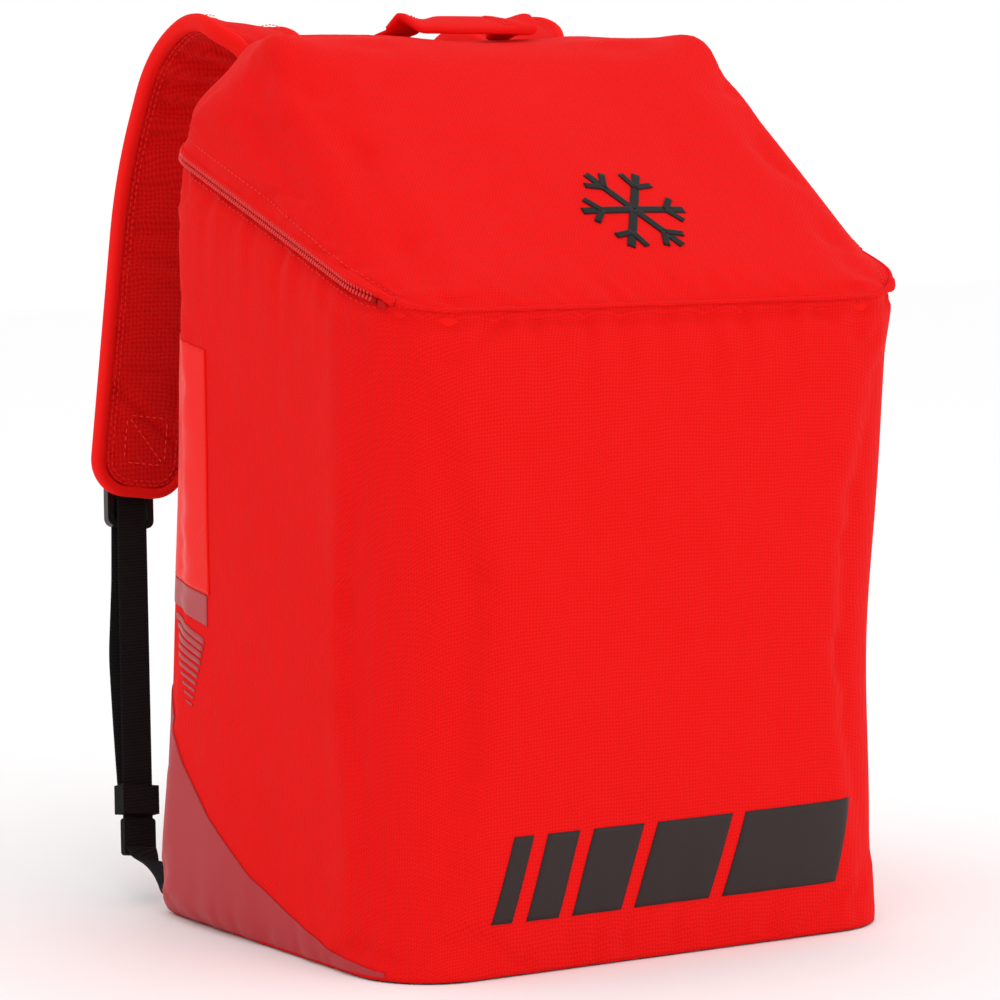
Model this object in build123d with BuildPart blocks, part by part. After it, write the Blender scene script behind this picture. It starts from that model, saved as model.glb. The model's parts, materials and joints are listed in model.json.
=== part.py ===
from build123d import *

import os
from math import atan2, cos, hypot, radians, sin

# Ski boot backpack: a soft box whose wedge-shaped lid is zipped to the sides and round the top
# of the back, with a grab handle and two padded shoulder straps on ladder-lock webbing.
# Millimetres. +Z is up, -Y is the front, +Y is the side worn against the back.
# The origin is the centre of the underside.

# ---------------------------------------------------------------- driving dimensions
BASE_WIDTH = 336.0  # across the underside
BASE_DEPTH = 272.0  # front to back across the underside
ZIP_WIDTH = 352.0  # across the bag at the zip
ZIP_DEPTH = 240.0  # front to back at the zip
HINGE_HEIGHT = 356.0  # the seam that joins lid and front
ZIP_BACK_HEIGHT = 440.0  # the zip where it turns onto the back
FRONT_RADIUS = 45.0  # upright corners
BACK_RADIUS = 30.0
RIDGE_HEIGHT = 502.0  # top of the lid
RIDGE_HALF = 146.0
RIDGE_Y = 36.0
LID_BACK_HEIGHT = 498.0  # where the lid's top meets the back
LID_BACK_HALF = 124.0
ARCH_HALF = 141.0  # the zip round the top of the back panel
ARCH_HEIGHT = 489.0
ARCH_CHAMFER = 36.0
ARCH_ROUNDING = 22.0
ARCH_TAIL = 130.0  # how far the arch's sides run on below its foot
ARCH_FOOT = 430.0  # below this the back panel runs out to the upright corners
LID_FRONT_CORNER = 12.0  # corner radii of the lid's top
LID_BACK_CORNER = 16.0

WALL = 3.0  # padded cloth
BASE_WALL = 4.0
BOARD_THICK = 3.0  # stiff board inside the base
BOARD_GAP = 2.0
SKIN = 0.6  # film and prints laid on the cloth
BINDING = 1.2
HINGE_BINDING_WIDTH = 12.0
BACK_FOAM_THICK = 6.0
LID_FOAM_THICK = 4.0
PAD_THICK = 9.0
PAD_CORNER = 14.0
PAD_SPAN = (16.0, 118.0)  # from the middle of the back
FOAM_HALF = 120.0

COIL_HEIGHT = 3.0  # one half of the zip chain
COIL_GAP = 0.2  # from the zip line to each half
COIL_BAY = 4.0  # from the zip line to each cloth edge
COIL_INSET = 0.6
TAPE_THICK = 0.9
TAPE_WIDTH = 15.0
WELT_HEIGHT = 5.0
WELT_THICK = 1.5
TACK_THICK = 1.0
TACK_LENGTH = 3.0

SLIDER_REST = 9.0  # the two sliders meet at the middle of the back
PULL_LENGTH = 28.0

HANDLE_Y = 88.0  # the handle's pivot line, on the lid behind the ridge
HANDLE_HALF = 47.0
HANDLE_THICK = 4.0
HANDLE_BAR = 19.0

STRAP_X = 90.0  # the strap's centre line at its top
STRAP_TOP = 508.0
STRAP_SPLAY = 7.4  # degrees outwards, going down
STRAP_HALF = 31.0
STRAP_NECK_HALF = 15.0
STRAP_ROOT = (56.0, 34.0, 5.0)  # width, height, thickness of the end sewn to the back panel
STRAP_ROOT_HEIGHT = 439.0
SHELL_THICK = 1.4
FOAM_THICK = 7.0
LINING_THICK = 1.2
STRAP_BINDING_THICK = 11.0
STRAP_BINDING_WIDTH = 6.0
WEBBING_HALF = 10.0  # 20 mm webbing
WEBBING_THICK = 1.6
ANCHOR_HEIGHTS = (4.0, 24.0)  # webbing sewn into the lower back corner
ANCHOR_Y = 134.0

# ---------------------------------------------------------------- derived places
FRONT_Y = -BASE_DEPTH / 2
ZIP_BACK_Y = FRONT_Y + ZIP_DEPTH
ZIP_ANGLE = atan2(ZIP_BACK_HEIGHT - HINGE_HEIGHT, ZIP_DEPTH)
ZIP_RUN = hypot(ZIP_BACK_HEIGHT - HINGE_HEIGHT, ZIP_DEPTH)
ZIP_END_Y = FRONT_Y + 19.0  # the chain ends on the front corners
BACK_SEAM_HALF = BASE_WIDTH / 2 - BACK_RADIUS
BACK_LEAN = (-FRONT_Y - ZIP_BACK_Y) / ZIP_BACK_HEIGHT
BIG = 1000.0
ARCH_Y = 80.0  # the zip's stretch round the back lies behind this
BACK_CUT = 60.0  # everything behind this belongs to the back
SPLAY = radians(STRAP_SPLAY)

SIDES = {"left": -1, "right": 1}


def back_y(height):
    """The outer face of the back at a height: it leans forward from the base."""
    return -FRONT_Y - BACK_LEAN * height


zip_plane = Plane(
    origin=(0, FRONT_Y, HINGE_HEIGHT),
    x_dir=(1, 0, 0),
    z_dir=(0, -sin(ZIP_ANGLE), cos(ZIP_ANGLE)),
)
LID_TOP_RUN = hypot(back_y(LID_BACK_HEIGHT) - RIDGE_Y, LID_BACK_HEIGHT - RIDGE_HEIGHT)
LID_TOP_ANGLE = atan2(LID_BACK_HEIGHT - RIDGE_HEIGHT, back_y(LID_BACK_HEIGHT) - RIDGE_Y)
lid_top_plane = Plane(
    origin=(0, RIDGE_Y, RIDGE_HEIGHT),
    x_dir=(1, 0, 0),
    z_dir=(0, -sin(LID_TOP_ANGLE), cos(LID_TOP_ANGLE)),
)
back_plane = Plane(origin=(0, -FRONT_Y, 0), x_dir=(-1, 0, 0), z_dir=(0, 1, BACK_LEAN))
slope_plane = Plane(
    origin=(0, FRONT_Y, HINGE_HEIGHT),
    x_dir=(1, 0, 0),
    z_dir=(0, HINGE_HEIGHT - RIDGE_HEIGHT, RIDGE_Y - FRONT_Y),
)

os.makedirs("parts", exist_ok=True)


def finish(builder, name):
    """Label one sub-part and write its file."""
    builder.part.label = name
    export_step(builder.part, f"parts/{name}.step")


# ---------------------------------------------------------------- shared forms
def bag_plan(width, depth, inset):
    """The bag's plan, with the middle of its front edge at the sketch's origin."""
    with BuildSketch() as plan:
        with Locations((0, depth / 2)):
            Rectangle(width - 2 * inset, depth - 2 * inset)
        fillet(plan.vertices().group_by(Axis.Y)[0], FRONT_RADIUS - inset)
        fillet(plan.vertices().group_by(Axis.Y)[-1], BACK_RADIUS - inset)
    return plan.sketch


def lid_top_plan(inset):
    """The lid's top: wide at the ridge and narrower where it meets the back."""
    front, back = inset, LID_TOP_RUN - inset
    wide, narrow = RIDGE_HALF - inset, LID_BACK_HALF - inset
    with BuildSketch() as plan:
        with BuildLine():
            Polyline((-wide, front), (wide, front), (narrow, back), (-narrow, back), close=True)
        make_face()
        fillet(plan.vertices().group_by(Axis.Y)[0], LID_FRONT_CORNER)
        fillet(plan.vertices().group_by(Axis.Y)[-1], LID_BACK_CORNER - inset)
    return plan.sketch


def bag_form(inset):
    """The bag below the zip plane, as a solid drawn in by the inset."""
    with BuildPart() as form:
        with BuildSketch(Plane((0, FRONT_Y, 0))):
            add(bag_plan(BASE_WIDTH, BASE_DEPTH, inset))
        with BuildSketch(zip_plane):
            add(bag_plan(ZIP_WIDTH, ZIP_RUN, inset))
        loft(ruled=True)
    return form.part


def lid_form(inset):
    """The lid above the zip plane, from the zip's outline up to its top."""
    with BuildPart() as form:
        with BuildSketch(zip_plane):
            add(bag_plan(ZIP_WIDTH, ZIP_RUN, inset))
        with BuildSketch(lid_top_plane.offset(-inset)):
            add(lid_top_plan(inset))
        loft(ruled=True)
    return form.part


def zip_slab(low, high):
    """Everything between two offsets from the zip plane."""
    with BuildPart() as slab:
        with BuildSketch(zip_plane.offset(low)):
            Rectangle(BIG, BIG)
        extrude(amount=high - low)
    return slab.part


def block(x_range, y_range, z_range):
    """A plain box between limits."""
    x_mid, y_mid = sum(x_range) / 2, sum(y_range) / 2
    with BuildPart() as trim:
        with BuildSketch(Plane.XY.offset(z_range[0])):
            with Locations((x_mid, y_mid)):
                Rectangle(x_range[1] - x_range[0], y_range[1] - y_range[0])
        extrude(amount=z_range[1] - z_range[0])
    return trim.part


def arch_prism(inset):
    """The top of the back panel inside the zip, drawn in as seen from behind."""
    half, top = ARCH_HALF - inset, ARCH_HEIGHT - inset
    foot = ARCH_FOOT - ARCH_TAIL
    chamfer_run = ARCH_CHAMFER - (2 - 2**0.5) * inset
    with BuildPart() as prism:
        with BuildSketch(Plane.XZ.offset(-BIG)):
            with BuildLine():
                Polyline(
                    (-half, foot),
                    (half, foot),
                    (half, top - chamfer_run),
                    (half - chamfer_run, top),
                    (chamfer_run - half, top),
                    (-half, top - chamfer_run),
                    close=True,
                )
            make_face()
            fillet(vertices().group_by(Axis.Y)[1:], ARCH_ROUNDING)
        extrude(amount=BIG - BACK_CUT)
    return prism.part


def side_prism(points, curve=()):
    """A prism right across the bag, with its outline in side view as (y, z)."""
    with BuildPart() as prism:
        with BuildSketch(Plane.YZ):
            with BuildLine():
                Polyline(*points)
                if curve:
                    Spline(*curve)
                else:
                    Line(points[-1], points[0])
            make_face()
        extrude(amount=BIG / 2, both=True)
    return prism.part


def front_prism(points):
    """A prism right through the bag, with its outline in front view as (x, z)."""
    with BuildPart() as prism:
        with BuildSketch(Plane.XZ):
            with BuildLine():
                Polyline(*points, close=True)
            make_face()
        extrude(amount=BIG / 2, both=True)
    return prism.part


bag_outer, bag_inner = bag_form(0), bag_form(WALL)
lid_outer, lid_inner = lid_form(0), lid_form(WALL)
bag_skin = bag_form(-SKIN)
halves = {
    "left": block((-BIG, 0), (-BIG, BIG), (-BIG, BIG)),
    "right": block((0, BIG), (-BIG, BIG), (-BIG, BIG)),
}
zip_region = block((-BIG, BIG), (ZIP_END_Y, BIG), (0, BIG))
seam_region = block((-BIG, BIG), (-BIG, ZIP_END_Y), (0, BIG))
base_slice = block((-BIG, BIG), (-BIG, BIG), (-1, BASE_WALL))
back_region = block((-BACK_SEAM_HALF, BACK_SEAM_HALF), (BACK_CUT, BIG), (BASE_WALL, BIG))
behind_arch = block((-ARCH_HALF, ARCH_HALF), (BACK_CUT, BIG), (0, BIG))
# The coated gusset's upper edge sweeps down from the back corner to the underside, as (y, z).
GUSSET_CURVE = [(-118, 4), (-70, 10), (11, 38), (84, 92), (150, 172)]
GUSSET_SIDE_VIEW = [GUSSET_CURVE[-1], (150, -1), (-118, -1), GUSSET_CURVE[0]]
gusset_prism = side_prism(GUSSET_SIDE_VIEW, GUSSET_CURVE)

# ---------------------------------------------------------------- bag body: base and cloth walls
with BuildPart() as base_panel:
    add(bag_outer)
    add(base_slice, mode=Mode.INTERSECT)
finish(base_panel, "base_panel")

with BuildPart() as base_board:
    add(bag_form(WALL + BOARD_GAP))
    add(block((-BIG, BIG), (-BIG, BIG), (BASE_WALL, BASE_WALL + BOARD_THICK)), mode=Mode.INTERSECT)
finish(base_board, "base_board")

with BuildPart() as bag_walls:
    add(bag_outer)
    add(bag_inner, mode=Mode.SUBTRACT)
    add(base_slice, mode=Mode.SUBTRACT)
    add(zip_slab(-COIL_BAY, 1) & zip_region, mode=Mode.SUBTRACT)
    add(zip_slab(-COIL_GAP, 1) & seam_region, mode=Mode.SUBTRACT)

with BuildPart() as main_panel:
    add(bag_walls.part)
    add(back_region, mode=Mode.SUBTRACT)
    add(gusset_prism, mode=Mode.SUBTRACT)
finish(main_panel, "main_panel")

for side, half in halves.items():
    with BuildPart() as gusset:
        add(bag_walls.part)
        add(back_region, mode=Mode.SUBTRACT)
        add(gusset_prism, mode=Mode.INTERSECT)
        add(half, mode=Mode.INTERSECT)
    finish(gusset, f"lower_gusset_{side}")

with BuildPart() as back_panel:
    add(bag_outer)
    add(lid_outer)
    add(bag_inner, mode=Mode.SUBTRACT)
    add(lid_inner, mode=Mode.SUBTRACT)
    add(zip_slab(-WALL, WALL) & block((-BIG, BIG), (-BIG, ZIP_BACK_Y - WALL), (0, BIG)), mode=Mode.SUBTRACT)
    add(back_region, mode=Mode.INTERSECT)
    add(arch_prism(COIL_BAY) + block((-BIG, BIG), (-BIG, BIG), (0, ARCH_FOOT)), mode=Mode.INTERSECT)
finish(back_panel, "back_panel")

BACK_FOAM_HEIGHTS, PAD_HEIGHTS = (20.0, 400.0), (44.0, 400.0)
with BuildPart() as back_foam:
    add(bag_inner)
    add(bag_form(WALL + BACK_FOAM_THICK), mode=Mode.SUBTRACT)
    add(block((-FOAM_HALF, FOAM_HALF), (BACK_CUT, BIG), BACK_FOAM_HEIGHTS), mode=Mode.INTERSECT)
finish(back_foam, "back_foam")

for side, sign in SIDES.items():
    pad_x = sorted(sign * edge for edge in PAD_SPAN)
    with BuildPart() as back_pad:
        add(bag_form(-PAD_THICK))
        add(bag_outer, mode=Mode.SUBTRACT)
        add(block(pad_x, (BACK_CUT, BIG), PAD_HEIGHTS), mode=Mode.INTERSECT)
        fillet(back_pad.edges().filter_by(Axis.Y, tolerance=8), PAD_CORNER)
    finish(back_pad, f"back_pad_{side}")

# ---------------------------------------------------------------- bag body: film and prints
FILM_SIDE_VIEW = [(56, 328), (125, 338), (125, 199), (64, 192)]
for side, half in halves.items():
    with BuildPart() as side_film:
        add(bag_skin)
        add(bag_outer, mode=Mode.SUBTRACT)
        add(side_prism(FILM_SIDE_VIEW), mode=Mode.INTERSECT)
        add(back_region, mode=Mode.SUBTRACT)
        add(half, mode=Mode.INTERSECT)
    finish(side_film, f"side_film_{side}")


STRIPES = 10
STRIPE_PITCH = 5.3
STRIPE_SLANT = 0.16
STRIPE_BACK, STRIPE_FRONT, STRIPE_TOP, STRIPE_THICK = 104.0, 70.0, 176.0, 3.6
STRIPE_BACK_STEP, STRIPE_FRONT_STEP, STRIPE_THICK_STEP = 2.4, 0.9, 0.27  # how each one shrinks
BAND_SIDE_VIEW = [(65, 190.5), (125, 197.5), (125, 185), (68, 175)]  # band between film and stripes


def stripe_prism(index):
    """One of the slanted side stripes: each is shorter and thinner than the one above."""
    back = STRIPE_BACK - STRIPE_BACK_STEP * index
    front = STRIPE_FRONT + STRIPE_FRONT_STEP * index
    top = STRIPE_TOP - STRIPE_PITCH * index
    thick = STRIPE_THICK - STRIPE_THICK_STEP * index
    rise = STRIPE_SLANT * (back - front)
    return side_prism([(front, top - rise), (back, top), (back, top - thick), (front, top - rise - thick)])


for side, half in halves.items():
    with BuildPart() as side_stripes:
        add(side_prism(BAND_SIDE_VIEW))
        for index in range(STRIPES):
            add(stripe_prism(index))
        add(bag_skin, mode=Mode.INTERSECT)
        add(bag_outer, mode=Mode.SUBTRACT)
        add(back_region, mode=Mode.SUBTRACT)
        add(half, mode=Mode.INTERSECT)
    finish(side_stripes, f"side_stripes_{side}")

BAR_LOW, BAR_HIGH, BAR_LEAN, BAR_GAP = 30.0, 76.0, 14.0, 9.0
BAR_RIGHT = 128.0
BAR_WIDTHS = (12, 20, 32, 50, 78)
with BuildPart() as front_print:
    bar_x = BAR_RIGHT
    for bar_width in reversed(BAR_WIDTHS):
        add(
            front_prism(
                [
                    (bar_x - bar_width - BAR_LEAN, BAR_LOW),
                    (bar_x - BAR_LEAN, BAR_LOW),
                    (bar_x, BAR_HIGH),
                    (bar_x - bar_width, BAR_HIGH),
                ]
            )
        )
        bar_x -= bar_width + BAR_GAP
    add(bag_skin, mode=Mode.INTERSECT)
    add(bag_outer, mode=Mode.SUBTRACT)
    add(block((-BIG, BIG), (-BIG, 0), (0, BIG)), mode=Mode.INTERSECT)
finish(front_print, "front_print")

# ---------------------------------------------------------------- zip: the bag's half
with BuildPart() as zip_tape_bag:
    add(bag_inner)
    add(bag_form(WALL + TAPE_THICK), mode=Mode.SUBTRACT)
    add(zip_slab(-TAPE_WIDTH, -COIL_GAP), mode=Mode.INTERSECT)
    add(zip_region, mode=Mode.INTERSECT)
    add(behind_arch, mode=Mode.SUBTRACT)
finish(zip_tape_bag, "zip_tape_bag")

ahead_of_tape = block((-BIG, BIG), (-BIG, ZIP_BACK_Y - 2 * WALL), (0, BIG))
with BuildPart() as arch_tape_bag:
    add(bag_inner)
    add(lid_inner)
    add(bag_form(WALL + TAPE_THICK), mode=Mode.SUBTRACT)
    add(lid_form(WALL + TAPE_THICK), mode=Mode.SUBTRACT)
    add(zip_slab(-WALL, WALL) & ahead_of_tape, mode=Mode.SUBTRACT)
    add(arch_prism(COIL_GAP) - arch_prism(TAPE_WIDTH), mode=Mode.INTERSECT)
    add(block((-BIG, BIG), (ARCH_Y, BIG), (ARCH_FOOT - 5, BIG)), mode=Mode.INTERSECT)
finish(arch_tape_bag, "arch_tape_bag")

with BuildPart() as zip_coil_bag:
    add(bag_form(COIL_INSET))
    add(bag_inner, mode=Mode.SUBTRACT)
    add(zip_slab(-COIL_GAP - COIL_HEIGHT, -COIL_GAP), mode=Mode.INTERSECT)
    add(zip_region, mode=Mode.INTERSECT)
    add(behind_arch, mode=Mode.SUBTRACT)
finish(zip_coil_bag, "zip_coil_bag")

with BuildPart() as arch_coil_bag:
    add(bag_form(COIL_INSET))
    add(lid_form(COIL_INSET))
    add(bag_inner, mode=Mode.SUBTRACT)
    add(lid_inner, mode=Mode.SUBTRACT)
    add(arch_prism(COIL_GAP) - arch_prism(COIL_GAP + COIL_HEIGHT), mode=Mode.INTERSECT)
    add(block((-BIG, BIG), (ARCH_Y, BIG), (ARCH_FOOT + 7, BIG)), mode=Mode.INTERSECT)
finish(arch_coil_bag, "arch_coil_bag")

for side, half in halves.items():
    with BuildPart() as end_tack:
        add(bag_form(-TACK_THICK))
        add(bag_outer, mode=Mode.SUBTRACT)
        add(zip_slab(-COIL_BAY, -2 * COIL_GAP), mode=Mode.INTERSECT)
        add(block((-BIG, BIG), (ZIP_END_Y - TACK_LENGTH, ZIP_END_Y), (0, BIG)), mode=Mode.INTERSECT)
        add(half, mode=Mode.INTERSECT)
    finish(end_tack, f"zip_end_tack_{side}")

with BuildPart() as hinge_binding:
    add(bag_inner)
    add(bag_form(WALL + BINDING), mode=Mode.SUBTRACT)
    add(zip_slab(-HINGE_BINDING_WIDTH, -COIL_GAP), mode=Mode.INTERSECT)
    add(seam_region, mode=Mode.INTERSECT)
finish(hinge_binding, "hinge_seam_binding")

# ---------------------------------------------------------------- lid
with BuildPart() as lid_panel:
    add(lid_outer)
    add(lid_inner, mode=Mode.SUBTRACT)
    add(zip_slab(-1, COIL_BAY) & zip_region, mode=Mode.SUBTRACT)
    add(zip_slab(-1, COIL_GAP) & seam_region, mode=Mode.SUBTRACT)
    add(arch_prism(-COIL_BAY), mode=Mode.SUBTRACT)
finish(lid_panel, "lid_panel")

LID_FOAM_HALF, LID_FOAM_Y, LID_FOAM_TOP = 118.0, (-90.0, 20.0), 480.0
with BuildPart() as lid_foam:
    add(lid_inner)
    add(lid_form(WALL + LID_FOAM_THICK), mode=Mode.SUBTRACT)
    add(block((-LID_FOAM_HALF, LID_FOAM_HALF), LID_FOAM_Y, (0, BIG)), mode=Mode.INTERSECT)
    add(zip_slab(TAPE_WIDTH + 1, BIG), mode=Mode.INTERSECT)
    add(block((-BIG, BIG), (-BIG, BIG), (LID_FOAM_TOP, BIG)), mode=Mode.SUBTRACT)
finish(lid_foam, "lid_foam")

with BuildPart() as zip_tape_lid:
    add(lid_inner)
    add(lid_form(WALL + TAPE_THICK), mode=Mode.SUBTRACT)
    add(zip_slab(COIL_GAP, TAPE_WIDTH), mode=Mode.INTERSECT)
    add(zip_region, mode=Mode.INTERSECT)
    add(arch_prism(-COIL_GAP), mode=Mode.SUBTRACT)
finish(zip_tape_lid, "zip_tape_lid")

with BuildPart() as zip_coil_lid:
    add(lid_form(COIL_INSET))
    add(lid_inner, mode=Mode.SUBTRACT)
    add(zip_slab(COIL_GAP, COIL_GAP + COIL_HEIGHT), mode=Mode.INTERSECT)
    add(zip_region, mode=Mode.INTERSECT)
    add(arch_prism(-COIL_GAP), mode=Mode.SUBTRACT)
    add(arch_prism(-COIL_GAP - COIL_HEIGHT), mode=Mode.SUBTRACT)
finish(zip_coil_lid, "zip_coil_lid")

with BuildPart() as arch_coil_lid:
    add(lid_form(COIL_INSET))
    add(lid_inner, mode=Mode.SUBTRACT)
    add(arch_prism(-COIL_GAP - COIL_HEIGHT) - arch_prism(-COIL_GAP), mode=Mode.INTERSECT)
    add(zip_slab(COIL_GAP, BIG), mode=Mode.INTERSECT)
    add(block((-BIG, BIG), (ARCH_Y, BIG), (0, BIG)), mode=Mode.INTERSECT)
finish(arch_coil_lid, "arch_coil_lid")

with BuildPart() as lid_welt:
    add(lid_form(-WELT_THICK))
    add(lid_outer, mode=Mode.SUBTRACT)
    add(zip_slab(COIL_BAY, COIL_BAY + WELT_HEIGHT), mode=Mode.INTERSECT)
    add(block((-BIG, BIG), (ZIP_END_Y, ARCH_Y), (0, BIG)), mode=Mode.INTERSECT)
finish(lid_welt, "lid_welt")

FLAKE_CENTRE, FLAKE_ARM, FLAKE_BAR = (14.0, 70.0), 34.0, 5.0
BARB_AT, BARB_LENGTH, BARB_SHIFT = 0.62, 11.0, (3.0, 3.4)
EMBLEM_REACH = 20.0  # far enough to cross the lid's front
with BuildPart() as lid_emblem:
    with BuildSketch(slope_plane):
        with Locations(FLAKE_CENTRE):
            with PolarLocations(0, 3):
                Rectangle(2 * FLAKE_ARM, FLAKE_BAR)
            with PolarLocations(BARB_AT * FLAKE_ARM, 6):
                with Locations(Location(BARB_SHIFT, 45), Location((BARB_SHIFT[0], -BARB_SHIFT[1]), -45)):
                    Rectangle(BARB_LENGTH, 0.8 * FLAKE_BAR)
    extrude(amount=EMBLEM_REACH, both=True)
    add(lid_form(-SKIN), mode=Mode.INTERSECT)
    add(lid_outer, mode=Mode.SUBTRACT)
finish(lid_emblem, "lid_emblem")

# ---------------------------------------------------------------- grab handle, on the lid
HANDLE_PIVOT = (HANDLE_Y, 503.0)
HANDLE_TIP = (50.0, 510.0)
HANDLE_CROWN = (68.0, 509.4)
HANDLE_TAPER = 6.0  # the bar is this much shorter each side than the foot
HANDLE_LEG = 18.0  # width of each leg at its foot
HANDLE_LEG_TOP = 26.0
GRIP_HALF, GRIP_EXTRA = 28.0, 1.2
HANDLE_TAB = (19.0, 2.2, 99.0, 498.2)  # reach in, thickness, back edge, lowest point
HANDLE_TAB_GAP, HANDLE_TAB_DEEP = 1.5, 8.0
HANDLE_SPACE = (480.0, 540.0)  # heights between which the handle lies


def handle_band(thick, x_half, y_range):
    """The handle's cloth: an arched sheet that leans forward from its pivot line."""
    half = thick / 2
    (py, pz), (cy, cz), (ty, tz) = HANDLE_PIVOT, HANDLE_CROWN, HANDLE_TIP
    with BuildPart() as band:
        with BuildSketch(Plane.YZ):
            with BuildLine():
                ThreePointArc((py, pz + half), (cy, cz + half), (ty, tz + half))
                ThreePointArc((ty, tz - half), (cy, cz - half), (py, pz - half))
                Line((py, pz - half), (py, pz + half))
                Line((ty, tz + half), (ty, tz - half))
            make_face()
        extrude(amount=x_half, both=True)
        add(block((-x_half, x_half), y_range, (0, BIG)), mode=Mode.INTERSECT)
    return band.part


with BuildPart() as grab_handle:
    with BuildSketch(Plane.XY.offset(HANDLE_SPACE[0])):
        with BuildLine():
            Polyline(
                (-HANDLE_HALF, HANDLE_Y),
                (-HANDLE_HALF + HANDLE_TAPER, HANDLE_TIP[0]),
                (HANDLE_HALF - HANDLE_TAPER, HANDLE_TIP[0]),
                (HANDLE_HALF, HANDLE_Y),
                (HANDLE_HALF - HANDLE_LEG, HANDLE_Y),
                (HANDLE_HALF - HANDLE_LEG_TOP, HANDLE_TIP[0] + HANDLE_BAR),
                (-HANDLE_HALF + HANDLE_LEG_TOP, HANDLE_TIP[0] + HANDLE_BAR),
                (-HANDLE_HALF + HANDLE_LEG, HANDLE_Y),
                close=True,
            )
        make_face()
    extrude(amount=HANDLE_SPACE[1] - HANDLE_SPACE[0])
    add(handle_band(HANDLE_THICK, HANDLE_HALF + 2, (HANDLE_TIP[0], HANDLE_Y)), mode=Mode.INTERSECT)
finish(grab_handle, "grab_handle")

with BuildPart() as handle_grip:
    grip_y = (HANDLE_TIP[0], HANDLE_TIP[0] + HANDLE_BAR + GRIP_EXTRA)
    add(handle_band(HANDLE_THICK + 2 * GRIP_EXTRA, GRIP_HALF, grip_y))
    add(grab_handle.part, mode=Mode.SUBTRACT)
finish(handle_grip, "handle_grip")

for side, sign in SIDES.items():
    tab_x = sorted((sign * (HANDLE_HALF - HANDLE_TAB[0]), sign * (HANDLE_HALF + 1)))
    with BuildPart() as handle_anchor:
        add(lid_form(-HANDLE_TAB[1]))
        add(lid_outer, mode=Mode.SUBTRACT)
        tab_z = (HANDLE_TAB[3] - HANDLE_TAB_DEEP, BIG)
        add(block(tab_x, (HANDLE_Y + HANDLE_TAB_GAP, HANDLE_TAB[2]), tab_z), mode=Mode.INTERSECT)
        add(block((-BIG, BIG), (-BIG, BIG), (HANDLE_TAB[3], BIG)), mode=Mode.INTERSECT)
    finish(handle_anchor, f"handle_anchor_{side}")

# ---------------------------------------------------------------- sliders and pull tabs
SLIDER_HALF, SLIDER_HEIGHT, SLIDER_THICK, SLIDER_CORNER = 5.0, 7.6, 2.0, 2.5
SLIDER_Y = back_y(ARCH_HEIGHT - COIL_BAY) + 0.4
BRIDGE_OUT, BRIDGE_BAR, BRIDGE_HALF, BRIDGE_HEIGHT = 4.1, 1.0, 0.8, 6.0
PIN_OUT = 1.9
PIN_Y, PIN_RADIUS = SLIDER_Y + SLIDER_THICK + PIN_OUT, 0.6
EAR_RADIUS, EAR_INNER, EAR_OUTER = 1.4, 1.2, 2.2
PULL_HALF, PULL_THICK, PULL_NECK = 3.2, 1.6, 6.5

for side, sign in SIDES.items():
    slider_x = sign * SLIDER_REST
    plate_y = SLIDER_Y + SLIDER_THICK
    with BuildPart() as slider:
        with BuildSketch(Plane.XZ.offset(-SLIDER_Y)):
            with Locations((slider_x, ARCH_HEIGHT)):
                RectangleRounded(2 * SLIDER_HALF, SLIDER_HEIGHT, SLIDER_CORNER)
        extrude(amount=-SLIDER_THICK)
        with BuildSketch(Plane.YZ.offset(slider_x)):
            with Locations((plate_y + BRIDGE_OUT / 2, ARCH_HEIGHT)):
                Rectangle(BRIDGE_OUT, BRIDGE_HEIGHT)
            with Locations((plate_y + (BRIDGE_OUT - BRIDGE_BAR) / 2, ARCH_HEIGHT)):
                Rectangle(BRIDGE_OUT - BRIDGE_BAR, BRIDGE_HEIGHT - 2 * BRIDGE_BAR, mode=Mode.SUBTRACT)
        extrude(amount=BRIDGE_HALF, both=True)
    finish(slider, f"zip_slider_{side}")

    with BuildPart() as pull_tab:
        with BuildSketch(Plane.YZ.offset(slider_x)):
            with Locations((PIN_Y, ARCH_HEIGHT)):
                Circle(PIN_RADIUS)
        extrude(amount=EAR_OUTER, both=True)
        for ear_sign in (-1, 1):
            with BuildSketch(Plane.YZ.offset(slider_x + ear_sign * EAR_INNER)):
                with Locations((PIN_Y, ARCH_HEIGHT)):
                    Circle(EAR_RADIUS)
                with Locations((PIN_Y, ARCH_HEIGHT - PULL_NECK / 2 - 1.5)):
                    Rectangle(PULL_THICK, PULL_NECK + 3)
            extrude(amount=ear_sign * (EAR_OUTER - EAR_INNER))
        with BuildSketch(Plane.XZ.offset(-PIN_Y)):
            with Locations((slider_x, ARCH_HEIGHT - (PULL_NECK + PULL_LENGTH) / 2)):
                RectangleRounded(2 * PULL_HALF, PULL_LENGTH - PULL_NECK, 2)
        extrude(amount=PULL_THICK / 2, both=True)
    finish(pull_tab, f"pull_tab_{side}")

# ---------------------------------------------------------------- shoulder straps
# A strap is drawn upright on the X = 0 plane, with its top at the origin's height, and then
# turned outwards and set beside the bag.
STRAP_PATH = [(0, 117, -46), (0, 129, -16), (0, 172, 4), (0, 218, -22), (0, 240, -93), (0, 231.4, -282)]
STRAP_BENDS = [24, 50, 60, 200]
STRAP_NECK_Y, NECK_START_Y = 150.0, 118.0
STRAP_END_Z, STRAP_END_CORNER = -282.0, 22.0
NECK_CLEAR_Y, STRAP_CLEAR_TOP, STRAP_CLEAR_LOW = 100.0, 40.0, -80.0  # limits past the strap
STRAP_CLEAR_DEEP = 120.0


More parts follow.
